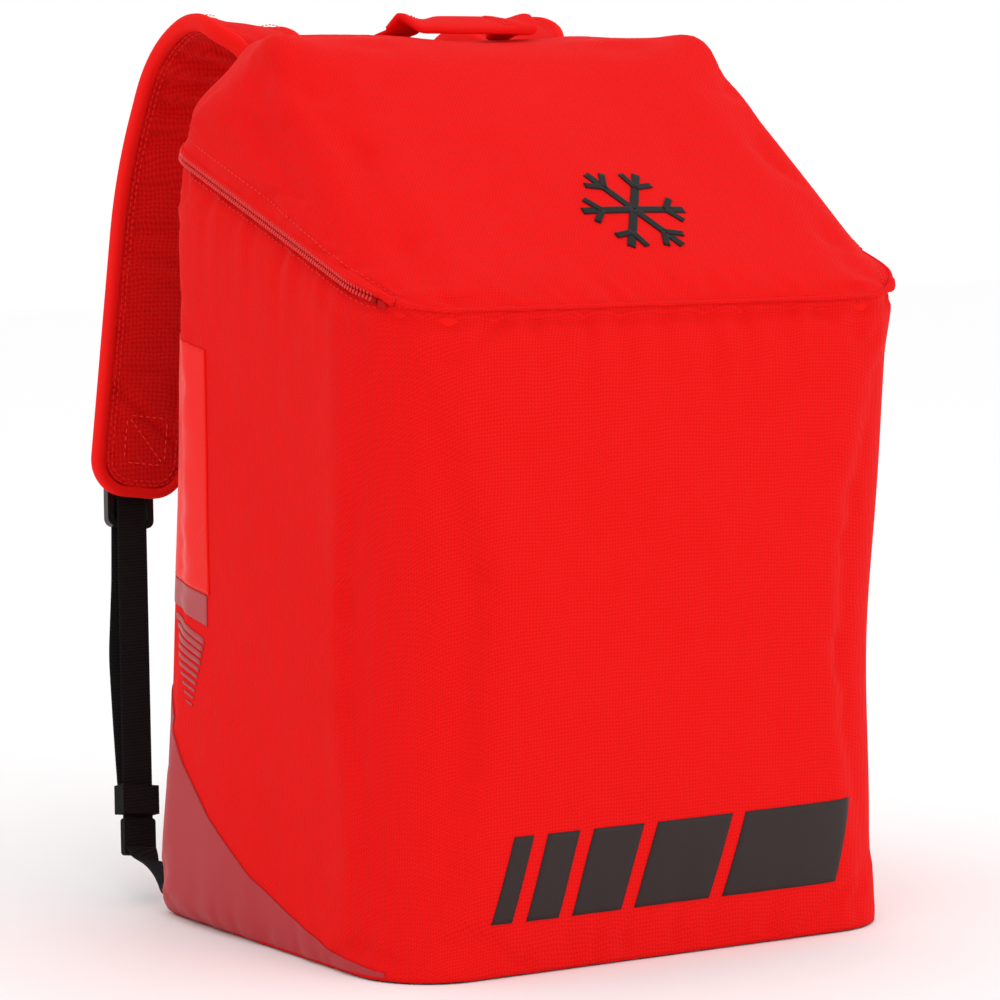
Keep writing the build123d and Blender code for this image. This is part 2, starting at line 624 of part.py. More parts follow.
def strap_region(inset):
    """The strap's outline as a solid: narrow at the neck, full width on, rounded at its end."""
    neck, half = STRAP_NECK_HALF - inset, STRAP_HALF - inset
    with BuildPart() as region:
        with BuildSketch(Plane.XY.offset(STRAP_CLEAR_LOW)):
            with BuildLine():
                Polyline(
                    (-neck, NECK_CLEAR_Y),
                    (neck, NECK_CLEAR_Y),
                    (neck, NECK_START_Y),
                    (half, STRAP_NECK_Y),
                    (-half, STRAP_NECK_Y),
                    (-neck, NECK_START_Y),
                    close=True,
                )
            make_face()
        extrude(amount=STRAP_CLEAR_TOP - STRAP_CLEAR_LOW)
        with BuildSketch(Plane.XZ.offset(-STRAP_NECK_Y)):
            with Locations((0, (STRAP_END_Z + inset + STRAP_CLEAR_TOP) / 2)):
                Rectangle(2 * half, STRAP_CLEAR_TOP - STRAP_END_Z - inset)
            fillet(vertices().group_by(Axis.Y)[0], STRAP_END_CORNER - inset)
        extrude(amount=-STRAP_CLEAR_DEEP)
    return region.part


def strap_layer(low, high, inset):
    """One layer between two offsets from the middle of the strap, outer face negative."""
    with BuildPart() as layer:
        with BuildLine() as path:
            FilletPolyline(*STRAP_PATH, radius=STRAP_BENDS)
        with BuildSketch(Plane(origin=path.line @ 0, x_dir=(1, 0, 0), z_dir=path.line % 0)):
            with Locations((0, (low + high) / 2)):
                Rectangle(2 * STRAP_HALF + 2, high - low)
        sweep()
        add(strap_region(inset), mode=Mode.INTERSECT)
    return layer.part


def webbing(points, bends):
    """Flat webbing along a route on the X = 0 plane."""
    with BuildPart() as strip:
        with BuildLine() as route:
            FilletPolyline(*[(0, y, z) for y, z in points], radius=bends)
        with BuildSketch(Plane(origin=route.line @ 0, x_dir=(1, 0, 0), z_dir=route.line % 0)):
            Rectangle(2 * WEBBING_HALF, WEBBING_THICK)
        sweep()
    return strip.part


def set_strap(upright, name):
    """Write the left and right copies of a strap piece."""
    for side, sign in SIDES.items():
        with BuildPart() as piece:
            with Locations(Location((sign * STRAP_X, 0, STRAP_TOP), (0, -sign * STRAP_SPLAY, 0))):
                add(upright)
        finish(piece, f"{name}_{side}")


LINING_TOP = (FOAM_THICK + LINING_THICK + SHELL_THICK) / 2
FOAM_TOP = LINING_TOP - LINING_THICK
FOAM_LOW = FOAM_TOP - FOAM_THICK
SHELL_LOW = FOAM_LOW - SHELL_THICK
set_strap(strap_layer(SHELL_LOW, FOAM_LOW, STRAP_BINDING_WIDTH), "strap_shell")
set_strap(strap_layer(FOAM_LOW, FOAM_TOP, STRAP_BINDING_WIDTH), "strap_foam")
set_strap(strap_layer(FOAM_TOP, LINING_TOP, STRAP_BINDING_WIDTH), "strap_lining")
with BuildPart() as strap_binding:
    add(strap_layer(-STRAP_BINDING_THICK / 2, STRAP_BINDING_THICK / 2, 0))
    add(strap_region(STRAP_BINDING_WIDTH), mode=Mode.SUBTRACT)
set_strap(strap_binding.part, "strap_binding")

# The ladder lock lies behind the strap's end. Places on it are (along, out): up the webbing
# and away from the bag.
LOCK_Y, LOCK_Z = 240.5, -286.0
LOCK_ANGLE = atan2(49.5, 184.0)
LOCK_UP = (sin(LOCK_ANGLE), cos(LOCK_ANGLE))
LOCK_HALF, LOCK_HEIGHT, LOCK_THICK = 15.5, 31.0, 5.0
SLOT_HALF, BAR_THICK = 11.5, 3.2
SLOTS = ((-10.0, 0.4), (3.6, 11.5))
STRAND_OUT = 3.4
STRAND_END = -190.0
KEEPER_SPAN = (-188.0, -171.0)


def by_lock(along, out):
    """A place given along and out from the lock, as (y, z)."""
    return (
        LOCK_Y + along * LOCK_UP[0] + out * LOCK_UP[1],
        LOCK_Z + along * LOCK_UP[1] - out * LOCK_UP[0],
    )


def lock_plane(along, out):
    """A sketch plane facing out from the bag, with its Y axis up the webbing."""
    y, z = by_lock(along, out)
    return Plane(origin=(0, y, z), x_dir=(-1, 0, 0), z_dir=(0, LOCK_UP[1], -LOCK_UP[0]))


with BuildPart() as ladder_lock:
    with BuildSketch(lock_plane(0, 0)):
        RectangleRounded(2 * LOCK_HALF, LOCK_HEIGHT, 5)
        Rectangle(2 * SLOT_HALF, LOCK_HEIGHT - 2 * (LOCK_HALF - SLOT_HALF) + 2, mode=Mode.SUBTRACT)
    extrude(amount=LOCK_THICK / 2, both=True)
    with BuildSketch(lock_plane(0, 0)):
        Rectangle(2 * SLOT_HALF, LOCK_HEIGHT - 2 * (LOCK_HALF - SLOT_HALF) + 4)
        for slot_low, slot_high in SLOTS:
            with Locations((0, (slot_low + slot_high) / 2)):
                Rectangle(2 * SLOT_HALF, slot_high - slot_low, mode=Mode.SUBTRACT)
    extrude(amount=BAR_THICK / 2, both=True)
set_strap(ladder_lock.part, "ladder_lock")

TURN_AT, TURN_BEND = 6.0, 3.3  # where the strand turns over the lower bar
TAIL_BOW, TAIL_BEND, TAIL_LIFT = 5.0, 300.0, 2.4  # the tail hangs slightly bowed behind the strand
adjust_route = [
    by_lock(STRAND_END, -STRAND_OUT),
    by_lock(TURN_AT, -STRAND_OUT),
    by_lock(TURN_AT, STRAND_OUT),
    by_lock(STRAND_END / 2, STRAND_OUT + TAIL_BOW),
    by_lock(STRAND_END + 4, TAIL_LIFT - STRAND_OUT),
]
set_strap(webbing(adjust_route, [TURN_BEND, TURN_BEND, TAIL_BEND]), "adjust_webbing")

# The loop that holds the lock is sewn to the outer face of the strap.
LOOP_SEAM_Z, LOOP_SEAM_Y, LOOP_SEAM_GAP = -223.0, 240.9, 2.0
LOOP_TURN_AT, LOOP_TURN_OUT, LOOP_BEND = 9.6, 3.3, 2.7
loop_route = [
    (LOOP_SEAM_Y, LOOP_SEAM_Z),
    by_lock(LOOP_TURN_AT, -LOOP_TURN_OUT),
    by_lock(LOOP_TURN_AT, LOOP_TURN_OUT),
    by_lock(2 * LOOP_TURN_AT, LOOP_TURN_OUT),
    (LOOP_SEAM_Y + LOOP_SEAM_GAP, LOOP_SEAM_Z),
]
set_strap(webbing(loop_route, [LOOP_BEND, LOOP_BEND, 4 * LOOP_BEND]), "lock_loop")

keeper_mid = (KEEPER_SPAN[0] + KEEPER_SPAN[1]) / 2
KEEPER_IN, KEEPER_DEEP, KEEPER_WALL = -8.0, 11.0, 1.4
with BuildPart() as keeper:
    with BuildSketch(lock_plane(keeper_mid, KEEPER_IN)):
        Rectangle(2 * WEBBING_HALF + 4, KEEPER_SPAN[1] - KEEPER_SPAN[0])
    extrude(amount=KEEPER_DEEP)
    with BuildSketch(lock_plane(keeper_mid, KEEPER_IN + KEEPER_WALL)):
        Rectangle(2 * WEBBING_HALF + 1.2, BIG)
    extrude(amount=KEEPER_DEEP - 2 * KEEPER_WALL, mode=Mode.SUBTRACT)
set_strap(keeper.part, "webbing_keeper")

END_LENGTH, END_THICK = 22.0, 4.8  # the folded and stitched end
with BuildPart() as webbing_end:
    with BuildSketch(lock_plane(STRAND_END - END_LENGTH / 2 - 0.5, -STRAND_OUT - END_THICK / 2)):
        RectangleRounded(2 * WEBBING_HALF + 1, END_LENGTH, 2)
    extrude(amount=END_THICK)
set_strap(webbing_end.part, "webbing_end")

ANCHOR_GAP = 0.8  # between the webbing's end and the tab that holds it
ANCHOR_OUT = -STRAND_OUT - 2.8  # where the webbing meets the folded end
with BuildPart() as anchor_webbing:
    with BuildSketch(Plane.YZ):
        with BuildLine():
            Polyline(
                (ANCHOR_Y + ANCHOR_GAP, (ANCHOR_HEIGHTS[0] - STRAP_TOP) / cos(SPLAY)),
                by_lock(STRAND_END - END_LENGTH, ANCHOR_OUT),
                by_lock(STRAND_END - 2, ANCHOR_OUT),
                (ANCHOR_Y + ANCHOR_GAP, (ANCHOR_HEIGHTS[1] - STRAP_TOP) / cos(SPLAY)),
                close=True,
            )
        make_face()
    extrude(amount=WEBBING_THICK / 2, both=True)
set_strap(anchor_webbing.part, "anchor_webbing")

ANCHOR_SIDE_VIEW = [(110, 2), (ANCHOR_Y, 3), (ANCHOR_Y, 25), (110, 32)]
ANCHOR_HALF_THICK = 2.2
ROOT_CORNER, ROOT_SHIFT = 8.0, 4.0
for side, sign in SIDES.items():
    with BuildPart() as strap_root:
        with BuildSketch(back_plane):
            with Locations((-sign * (STRAP_X + ROOT_SHIFT), STRAP_ROOT_HEIGHT)):
                RectangleRounded(STRAP_ROOT[0], STRAP_ROOT[1], ROOT_CORNER)
        extrude(amount=STRAP_ROOT[2])
    finish(strap_root, f"strap_root_{side}")

    anchor_x = sign * (STRAP_X - (ANCHOR_HEIGHTS[0] + 10 - STRAP_TOP) * sin(SPLAY))
    with BuildPart() as strap_anchor:
        with BuildSketch(Plane.YZ.offset(anchor_x)):
            with BuildLine():
                Polyline(*ANCHOR_SIDE_VIEW, close=True)
            make_face()
        extrude(amount=ANCHOR_HALF_THICK, both=True)
        add(bag_outer, mode=Mode.SUBTRACT)
    finish(strap_anchor, f"strap_anchor_{side}")
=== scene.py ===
import json
import math

import bpy
import numpy as np
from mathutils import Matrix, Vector
from mathutils.bvhtree import BVHTree


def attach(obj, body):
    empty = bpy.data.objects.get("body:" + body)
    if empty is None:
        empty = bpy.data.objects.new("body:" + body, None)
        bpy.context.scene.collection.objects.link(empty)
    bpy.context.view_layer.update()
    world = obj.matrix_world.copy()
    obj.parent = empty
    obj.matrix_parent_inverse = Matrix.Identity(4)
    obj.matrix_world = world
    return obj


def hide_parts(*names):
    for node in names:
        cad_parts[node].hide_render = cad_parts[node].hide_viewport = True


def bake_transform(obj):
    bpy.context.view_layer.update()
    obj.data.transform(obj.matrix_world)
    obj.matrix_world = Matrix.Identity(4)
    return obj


# Ski boot backpack. Metres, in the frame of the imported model: +Z up, -Y the front.

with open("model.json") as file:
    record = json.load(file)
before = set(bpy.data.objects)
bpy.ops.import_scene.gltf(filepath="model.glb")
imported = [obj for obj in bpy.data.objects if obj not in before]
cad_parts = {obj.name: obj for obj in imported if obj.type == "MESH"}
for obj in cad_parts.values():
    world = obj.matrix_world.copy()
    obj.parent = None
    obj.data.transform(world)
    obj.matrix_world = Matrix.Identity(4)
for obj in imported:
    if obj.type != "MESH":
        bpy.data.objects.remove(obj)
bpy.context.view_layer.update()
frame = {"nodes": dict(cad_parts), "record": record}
nodes = frame["nodes"]

# ---------------------------------------------------------------- driving dimensions
BASE_WIDTH, BASE_DEPTH = 0.336, 0.272
ZIP_WIDTH, ZIP_DEPTH = 0.352, 0.240
HINGE_HEIGHT, ZIP_BACK_HEIGHT = 0.356, 0.440
FRONT_RADIUS, BACK_RADIUS = 0.045, 0.030
RIDGE_HEIGHT, RIDGE_Y, RIDGE_HALF = 0.502, 0.036, 0.146
LID_BACK_HEIGHT, LID_BACK_HALF = 0.498, 0.124
ARCH_HALF, ARCH_HEIGHT, ARCH_CHAMFER = 0.141, 0.489, 0.036
FRONT_Y = -BASE_DEPTH / 2
ZIP_BACK_Y = FRONT_Y + ZIP_DEPTH
ZIP_RISE = ZIP_BACK_HEIGHT - HINGE_HEIGHT
ZIP_ANGLE = math.atan2(ZIP_RISE, ZIP_DEPTH)
ZIP_RUN = math.hypot(ZIP_RISE, ZIP_DEPTH)
ZIP_UP = np.array([0.0, -math.sin(ZIP_ANGLE), math.cos(ZIP_ANGLE)])
ZIP_END_Y = FRONT_Y + 0.019
BACK_LEAN = (-FRONT_Y - ZIP_BACK_Y) / ZIP_BACK_HEIGHT
COIL_BAY = 0.0034  # from the zip line to each cloth edge
CLOTH = 0.0026

# columns round the bag, in order from the left back seam, going by the front
BACK_ARC, SIDE_STEPS, FRONT_ARC, FRONT_STEPS = 8, 34, 12, 46
ROWS = 68
C_SIDE = BACK_ARC
C_CORNER = C_SIDE + SIDE_STEPS
C_FRONT = C_CORNER + FRONT_ARC
C_FRONT_END = C_FRONT + FRONT_STEPS
C_RIGHT = C_FRONT_END + FRONT_ARC
C_RIGHT_END = C_RIGHT + SIDE_STEPS
C_LAST = C_RIGHT_END + BACK_ARC
SIDES = (("left", -1), ("right", 1))


def unit(v):
    return v / np.maximum(np.linalg.norm(v, axis=-1, keepdims=True), 1e-12)


def smooth(t):
    t = np.clip(t, 0, 1)
    return t * t * (3 - 2 * t)


def back_y(height):
    """The outer face of the back at a height: it leans forward from the base."""
    return -FRONT_Y - BACK_LEAN * height


# ---------------------------------------------------------------- outlines
def rounded_loop(corners, radii, arc_steps, side_steps):
    """A closed outline with rounded corners. It starts where the first corner's arc starts."""
    corners = np.array(corners, float)
    count = len(corners)
    arcs = []
    for i in range(count):
        before = unit(corners[i - 1] - corners[i])
        after = unit(corners[(i + 1) % count] - corners[i])
        half = 0.5 * math.acos(float(np.clip(before @ after, -1, 1)))
        reach = radii[i] / math.tan(half)
        centre = corners[i] + unit(before + after) * radii[i] / math.sin(half)
        start, end = corners[i] + before * reach, corners[i] + after * reach
        first = math.atan2(*(start - centre)[::-1])
        last = math.atan2(*(end - centre)[::-1])
        turn = (last - first + math.pi) % (2 * math.pi) - math.pi
        arcs.append((centre, radii[i], first, turn, start, end))
    points = []
    for i in range(count):
        centre, radius, first, turn, start, end = arcs[i]
        for step in range(arc_steps[i]):
            angle = first + turn * step / arc_steps[i]
            points.append(centre + radius * np.array([math.cos(angle), math.sin(angle)]))
        following = arcs[(i + 1) % count][4]
        for step in range(side_steps[i]):
            points.append(end + (following - end) * step / side_steps[i])
    return np.array(points)


def plan(width, depth):
    """The bag's outline as (x, run from the front edge)."""
    half = width / 2
    return rounded_loop(
        [(-half, depth), (-half, 0), (half, 0), (half, depth)],
        [BACK_RADIUS, FRONT_RADIUS, FRONT_RADIUS, BACK_RADIUS],
        [BACK_ARC, FRONT_ARC, FRONT_ARC, BACK_ARC],
        [SIDE_STEPS, FRONT_STEPS, SIDE_STEPS, 8],
    )[: C_LAST + 1]


def on_floor(outline):
    return np.column_stack([outline[:, 0], FRONT_Y + outline[:, 1], np.zeros(len(outline))])


def on_zip(outline):
    run = outline[:, 1]
    return np.column_stack(
        [outline[:, 0], FRONT_Y + run * math.cos(ZIP_ANGLE), HINGE_HEIGHT + run * math.sin(ZIP_ANGLE)]
    )


# ---------------------------------------------------------------- grids of points
def grid_normals(points):
    """Outward normals of a grid whose columns run anticlockwise and whose rows run up."""
    across = np.gradient(points, axis=1)
    up = np.gradient(points, axis=0)
    return unit(np.cross(across, up))


def finer(points):
    """The same surface with a point between each two, on a smooth curve through them."""

    def along_first(p):
        ends = np.concatenate([2 * p[:1] - p[1:2], p, 2 * p[-1:] - p[-2:-1]])
        between = (9 * (ends[1:-2] + ends[2:-1]) - ends[:-3] - ends[3:]) / 16
        made = np.empty((2 * len(p) - 1, *p.shape[1:]))
        made[0::2], made[1::2] = p, between
        return made

    rows = along_first(points)
    return np.swapaxes(along_first(np.swapaxes(rows, 0, 1)), 0, 1)


def sample(points, row, column):
    """Points of a grid at fractional rows and columns."""
    row = np.clip(row, 0, points.shape[0] - 1.0001)
    column = np.clip(column, 0, points.shape[1] - 1.0001)
    r, c = np.floor(row).astype(int), np.floor(column).astype(int)
    fr, fc = (row - r)[..., None], (column - c)[..., None]
    low = points[r, c] * (1 - fc) + points[r, c + 1] * fc
    high = points[r + 1, c] * (1 - fc) + points[r + 1, c + 1] * fc
    return low * (1 - fr) + high * fr


def lengths(points, axis):
    """Distance along a grid's rows or columns, from the first point."""
    step = np.linalg.norm(np.diff(points, axis=axis), axis=2)
    start = np.zeros_like(np.take(step, [0], axis=axis))
    return np.concatenate([start, np.cumsum(step, axis=axis)], axis=axis)


def edge_loop(grid):
    """A grid's outermost points in order, each corner twice."""
    return np.concatenate([grid[0], grid[:, -1], grid[-1, ::-1], grid[::-1, 0]])


def rim_of(grid):
    """A grid's outermost points in order, closed where they start."""
    return np.concatenate([grid[0], grid[1:, -1], grid[-1, -2::-1], grid[-2::-1, 0]])


# ---------------------------------------------------------------- Blender objects
def make_object(name, verts, faces):
    mesh = bpy.data.meshes.new(name)
    mesh.from_pydata(np.asarray(verts, float).tolist(), [], [list(map(int, f)) for f in faces])
    mesh.validate()
    mesh.polygons.foreach_set("use_smooth", [True] * len(mesh.polygons))
    mesh.update()
    obj = bpy.data.objects.new(name, mesh)
    bpy.context.scene.collection.objects.link(obj)
    return obj


def grid_faces(rows, columns, wrap=False, offset=0):
    r, c = np.meshgrid(np.arange(rows - 1), np.arange(columns if wrap else columns - 1), indexing="ij")
    n = (c + 1) % columns
    quads = np.stack([r * columns + c, r * columns + n, (r + 1) * columns + n, (r + 1) * columns + c], -1)
    return (quads.reshape(-1, 4) + offset).tolist()


def closed_sheet(name, outer, inner):
    """A solid between two grids of the same size. It keeps the count of its outer faces, by which its inner
    faces can be given a second material.
    """
    rows, columns = outer.shape[:2]
    count = rows * columns
    verts = np.concatenate([outer.reshape(-1, 3), inner.reshape(-1, 3)])
    faces = grid_faces(rows, columns)
    front_count = len(faces)
    faces += [f[::-1] for f in grid_faces(rows, columns, offset=count)]
    index = np.arange(count).reshape(rows, columns)
    rim = rim_of(index)[:-1]
    following = np.roll(rim, -1)
    faces += np.stack([rim, rim + count, following + count, following], -1).tolist()
    obj = make_object(name, verts, faces)
    obj["front_faces"] = front_count
    return obj


def sheet_object(name, points, thickness):
    """A grid as cloth of some thickness, its outer face on the points."""
    return closed_sheet(name, points, points - grid_normals(points) * thickness)


def ring_object(name, rings):
    """A closed skin through rings of points, with its ends filled."""
    count, sides = rings.shape[:2]
    faces = grid_faces(count, sides, wrap=True)
    faces.append(list(range(sides))[::-1])
    faces.append([(count - 1) * sides + i for i in range(sides)])
    return make_object(name, rings.reshape(-1, 3), faces)


def oval(centre, wide, thick, half_wide, half_thick, sides=14, square=0.7):
    """A rounded flat section: rings of points round each centre."""
    angle = np.linspace(0, 2 * math.pi, sides, endpoint=False)
    a = np.sign(np.cos(angle)) * np.abs(np.cos(angle)) ** square
    b = np.sign(np.sin(angle)) * np.abs(np.sin(angle)) ** square
    half_wide = np.broadcast_to(np.asarray(half_wide, float), (len(centre),))[:, None, None]
    half_thick = np.broadcast_to(np.asarray(half_thick, float), (len(centre),))[:, None, None]
    across = wide[:, None] * a[None, :, None] * half_wide
    return centre[:, None] + across + thick[:, None] * b[None, :, None] * half_thick


def tube(name, path, radius, sides=10):
    """A round tube along points; radius is a number or one per point."""
    path = np.asarray(path, float)
    tangent = unit(np.gradient(path, axis=0))
    first = unit(np.cross(tangent, np.array([0.31, 0.17, 0.93])))
    return ring_object(name, oval(path, first, np.cross(tangent, first), radius, radius, sides, 1.0))


def resample(path, step):
    """Points evenly spaced along a path, with the fractional index of each."""
    path = np.asarray(path, float)
    run = np.concatenate([[0], np.cumsum(np.linalg.norm(np.diff(path, axis=0), axis=1))])
    count = max(2, int(run[-1] / step) + 1)
    at = np.linspace(0, run[-1], count)
    index = np.interp(at, run, np.arange(len(path)))
    return np.column_stack([np.interp(at, run, path[:, k]) for k in range(3)]), index


def joined(name, pieces):
    """One object from several (verts, faces) pairs."""
    verts, faces, offset = [], [], 0
    for piece_verts, piece_faces in pieces:
        verts.append(piece_verts)
        faces += (np.asarray(piece_faces) + offset).tolist()
        offset += len(piece_verts)
    return make_object(name, np.concatenate(verts), faces)


def bead(centre, along, out, length, width, height, sides=6, rings=5):
    """A small spindle, for one stitch or one turn of a coil."""
    side = np.cross(along, out)
    t = np.linspace(-1, 1, rings)
    swell = np.sqrt(np.maximum(1 - np.abs(t) ** 3, 0.02))
    angle = np.linspace(0, 2 * math.pi, sides, endpoint=False)
    ring = side * np.cos(angle)[:, None] * width / 2 + out * np.sin(angle)[:, None] * height / 2
    verts = centre + along * (t * length / 2)[:, None, None] + ring[None] * swell[:, None, None]
    faces = grid_faces(rings, sides, wrap=True)
    return verts.reshape(-1, 3), faces


STITCH_LENGTH, STITCH_GAP, STITCH_WIDTH = 0.0030, 0.0011, 0.0008


def stitches(name, rows, body="bag", thread=None):
    """Rows of running stitch; each row is (points, outward normals)."""
    pieces = []
    for path, normals in rows:
        spots, index = resample(path, STITCH_LENGTH + STITCH_GAP)
        low = np.floor(index).astype(int).clip(0, len(path) - 2)
        share = (index - low)[:, None]
        out = unit(normals[low] * (1 - share) + normals[low + 1] * share)
        along = unit(np.gradient(spots, axis=0))
        for spot, forward, outward in zip(spots[1:-1], along[1:-1], out[1:-1]):
            pieces.append(bead(spot, forward, outward, STITCH_LENGTH, STITCH_WIDTH, STITCH_WIDTH * 0.8))
    obj = joined(name, pieces)
    obj.data.materials.append(thread or MATERIALS["thread"])
    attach(obj, body)
    return obj


# ---------------------------------------------------------------- materials
def new_material(name):
    material = bpy.data.materials.new(name)
    material.use_nodes = True
    return material, material.node_tree.nodes["Principled BSDF"]


def set_inputs(node, values):
    for key, value in values.items():
        node.inputs[key].default_value = value


class Graph:
    """Short calls for adding nodes to a material."""

    def __init__(self, tree):
        self.tree = tree

    def node(self, kind, **values):
        made = self.tree.nodes.new(kind)
        for key, value in values.items():
            setattr(made, key, value)
        return made

    def link(self, source, target):
        self.tree.links.new(source, target)

    def math(self, operation, first, second=None):
        made = self.node("ShaderNodeMath", operation=operation)
        for socket, value in zip(made.inputs, (first, second)):
            if value is None:
                continue
            if isinstance(value, (int, float)):
                socket.default_value = value
            else:
                self.link(value, socket)
        return made.outputs[0]

    def noise(self, vector, scale, detail=2.0):
        made = self.node("ShaderNodeTexNoise")
        set_inputs(made, {"Scale": scale, "Detail": detail})
        self.link(vector, made.inputs["Vector"])
        return made.outputs["Fac"]

    def bump(self, height, strength, depth, shader):
        made = self.node("ShaderNodeBump")
        set_inputs(made, {"Strength": strength, "Distance": depth})
        self.link(height, made.inputs["Height"])
        self.link(made.outputs["Normal"], shader.inputs["Normal"])

    def mix(self, share, first, second):
        made = self.node("ShaderNodeMix", data_type="RGBA")
        for key, value in (("Factor", share), ("A", first), ("B", second)):
            socket = made.inputs[key]
            if isinstance(value, (tuple, list)):
                socket.default_value = (*value, 1)
            elif isinstance(value, (int, float)):
                socket.default_value = value
            else:
                self.link(value, socket)
        return made.outputs["Result"]


YARN_WANDER = 0.0030  # how far the yarns stray from straight lines
TWILL = 0.7  # how much coarser the diagonal wave is


def lattice(g, spot, pitch):
    """Three crossing waves in the piece's own space: yarns that read as weave on any side."""
    parts = g.node("ShaderNodeSeparateXYZ")
    wander = g.node("ShaderNodeTexNoise")
    wander.inputs["Scale"].default_value = 45.0
    g.link(spot, wander.inputs["Vector"])
    shift = g.node("ShaderNodeVectorMath", operation="SCALE")
    shift.inputs["Scale"].default_value = YARN_WANDER
    g.link(wander.outputs["Color"], shift.inputs[0])
    moved = g.node("ShaderNodeVectorMath", operation="ADD")
    g.link(spot, moved.inputs[0])
    g.link(shift.outputs[0], moved.inputs[1])
    g.link(moved.outputs[0], parts.inputs[0])
    x, y, z = parts.outputs
    turns = 2 * math.pi / pitch
    waves = [
        g.math("SINE", g.math("MULTIPLY", g.math("SUBTRACT", x, y), turns)),
        g.math("SINE", g.math("MULTIPLY", g.math("ADD", y, z), turns)),
        g.math("SINE", g.math("MULTIPLY", g.math("ADD", g.math("ADD", x, z), y), turns * TWILL)),
    ]
    total = g.math("ADD", g.math("ADD", waves[0], waves[1]), g.math("MULTIPLY", waves[2], 0.45))
    return g.math("ADD", g.math("MULTIPLY", total, 1 / 5), 0.5)


def ribs(g, spot, pitch):
    """Cross ribs of webbing that hangs upright, with a finer yarn along it."""
    parts = g.node("ShaderNodeSeparateXYZ")
    g.link(spot, parts.inputs[0])
    x, y, z = parts.outputs
    turns = 2 * math.pi / pitch
    across = g.math("SINE", g.math("MULTIPLY", g.math("SUBTRACT", z, g.math("MULTIPLY", y, 0.3)), turns))
    along = g.math("SINE", g.math("MULTIPLY", g.math("ADD", x, y), turns * 0.9))
    total = g.math("ADD", across, g.math("MULTIPLY", along, 0.5))
    return g.math("ADD", g.math("MULTIPLY", total, 1 / 3), 0.5)


def woven(name, colour, pitch=0.0020, depth=0.00024, sheen=0.08, rough=0.85, shade=0.74, weave=lattice):
    """Woven cloth with uneven colour, some wear and a bump that follows the yarns. The colour is painted
    darker in the weave's low parts (painted shade between the yarns) and a little lighter on its crests
    (painted light).
    """
    material, shader = new_material(name)
    g = Graph(material.node_tree)
    spot = g.node("ShaderNodeTexCoord").outputs["Object"]
    height = weave(g, spot, pitch)
    speckle = g.noise(spot, 700.0, 1.0)
    g.bump(g.math("ADD", height, g.math("MULTIPLY", speckle, 0.5)), 1.0, depth, shader)
    # painted shade: the weave's low parts take the darker colour and its crests the lighter one, so the
    # light and shade of the yarns are painted into the base colour; shade sets how dark
    dark = tuple(c * shade for c in colour)
    bright = tuple(min(1, c * 1.08 + 0.003) for c in colour)
    weave_shaded = g.mix(height, dark, bright)
    patchy = g.mix(g.math("MULTIPLY", g.noise(spot, 9.0), 0.35), weave_shaded, colour)
    g.link(g.mix(g.math("MULTIPLY", speckle, 0.25), patchy, dark), shader.inputs["Base Color"])
    uneven = g.math("ADD", g.math("MULTIPLY", g.noise(spot, 60.0), 0.12), rough - 0.06)
    g.link(uneven, shader.inputs["Roughness"])
    set_inputs(shader, {"Sheen Weight": sheen, "Sheen Roughness": 0.4, "Sheen Tint": (*colour, 1)})
    set_inputs(shader, {"Specular IOR Level": 0.12})
    return material


def coated(name, colour, rough=0.32, coat=0.1, depth=0.00005, spread=0.2, specular=0.3):
    """Coated or moulded surface: smooth, with faint grain and uneven gloss."""
    material, shader = new_material(name)
    g = Graph(material.node_tree)
    spot = g.node("ShaderNodeTexCoord").outputs["Object"]
    grain = g.noise(spot, 1400.0, 1.0)
    cloudy = g.noise(spot, 14.0)
    g.bump(grain, 0.6, depth, shader)
    dark = tuple(c * (1 - spread) for c in colour)
    bright = tuple(min(1, c * (1 + spread)) for c in colour)
    g.link(g.mix(cloudy, dark, bright), shader.inputs["Base Color"])
    g.link(g.math("ADD", g.math("MULTIPLY", cloudy, 0.14), rough - 0.07), shader.inputs["Roughness"])
    set_inputs(shader, {"Coat Weight": coat, "Coat Roughness": 0.22, "Specular IOR Level": specular})
    return material


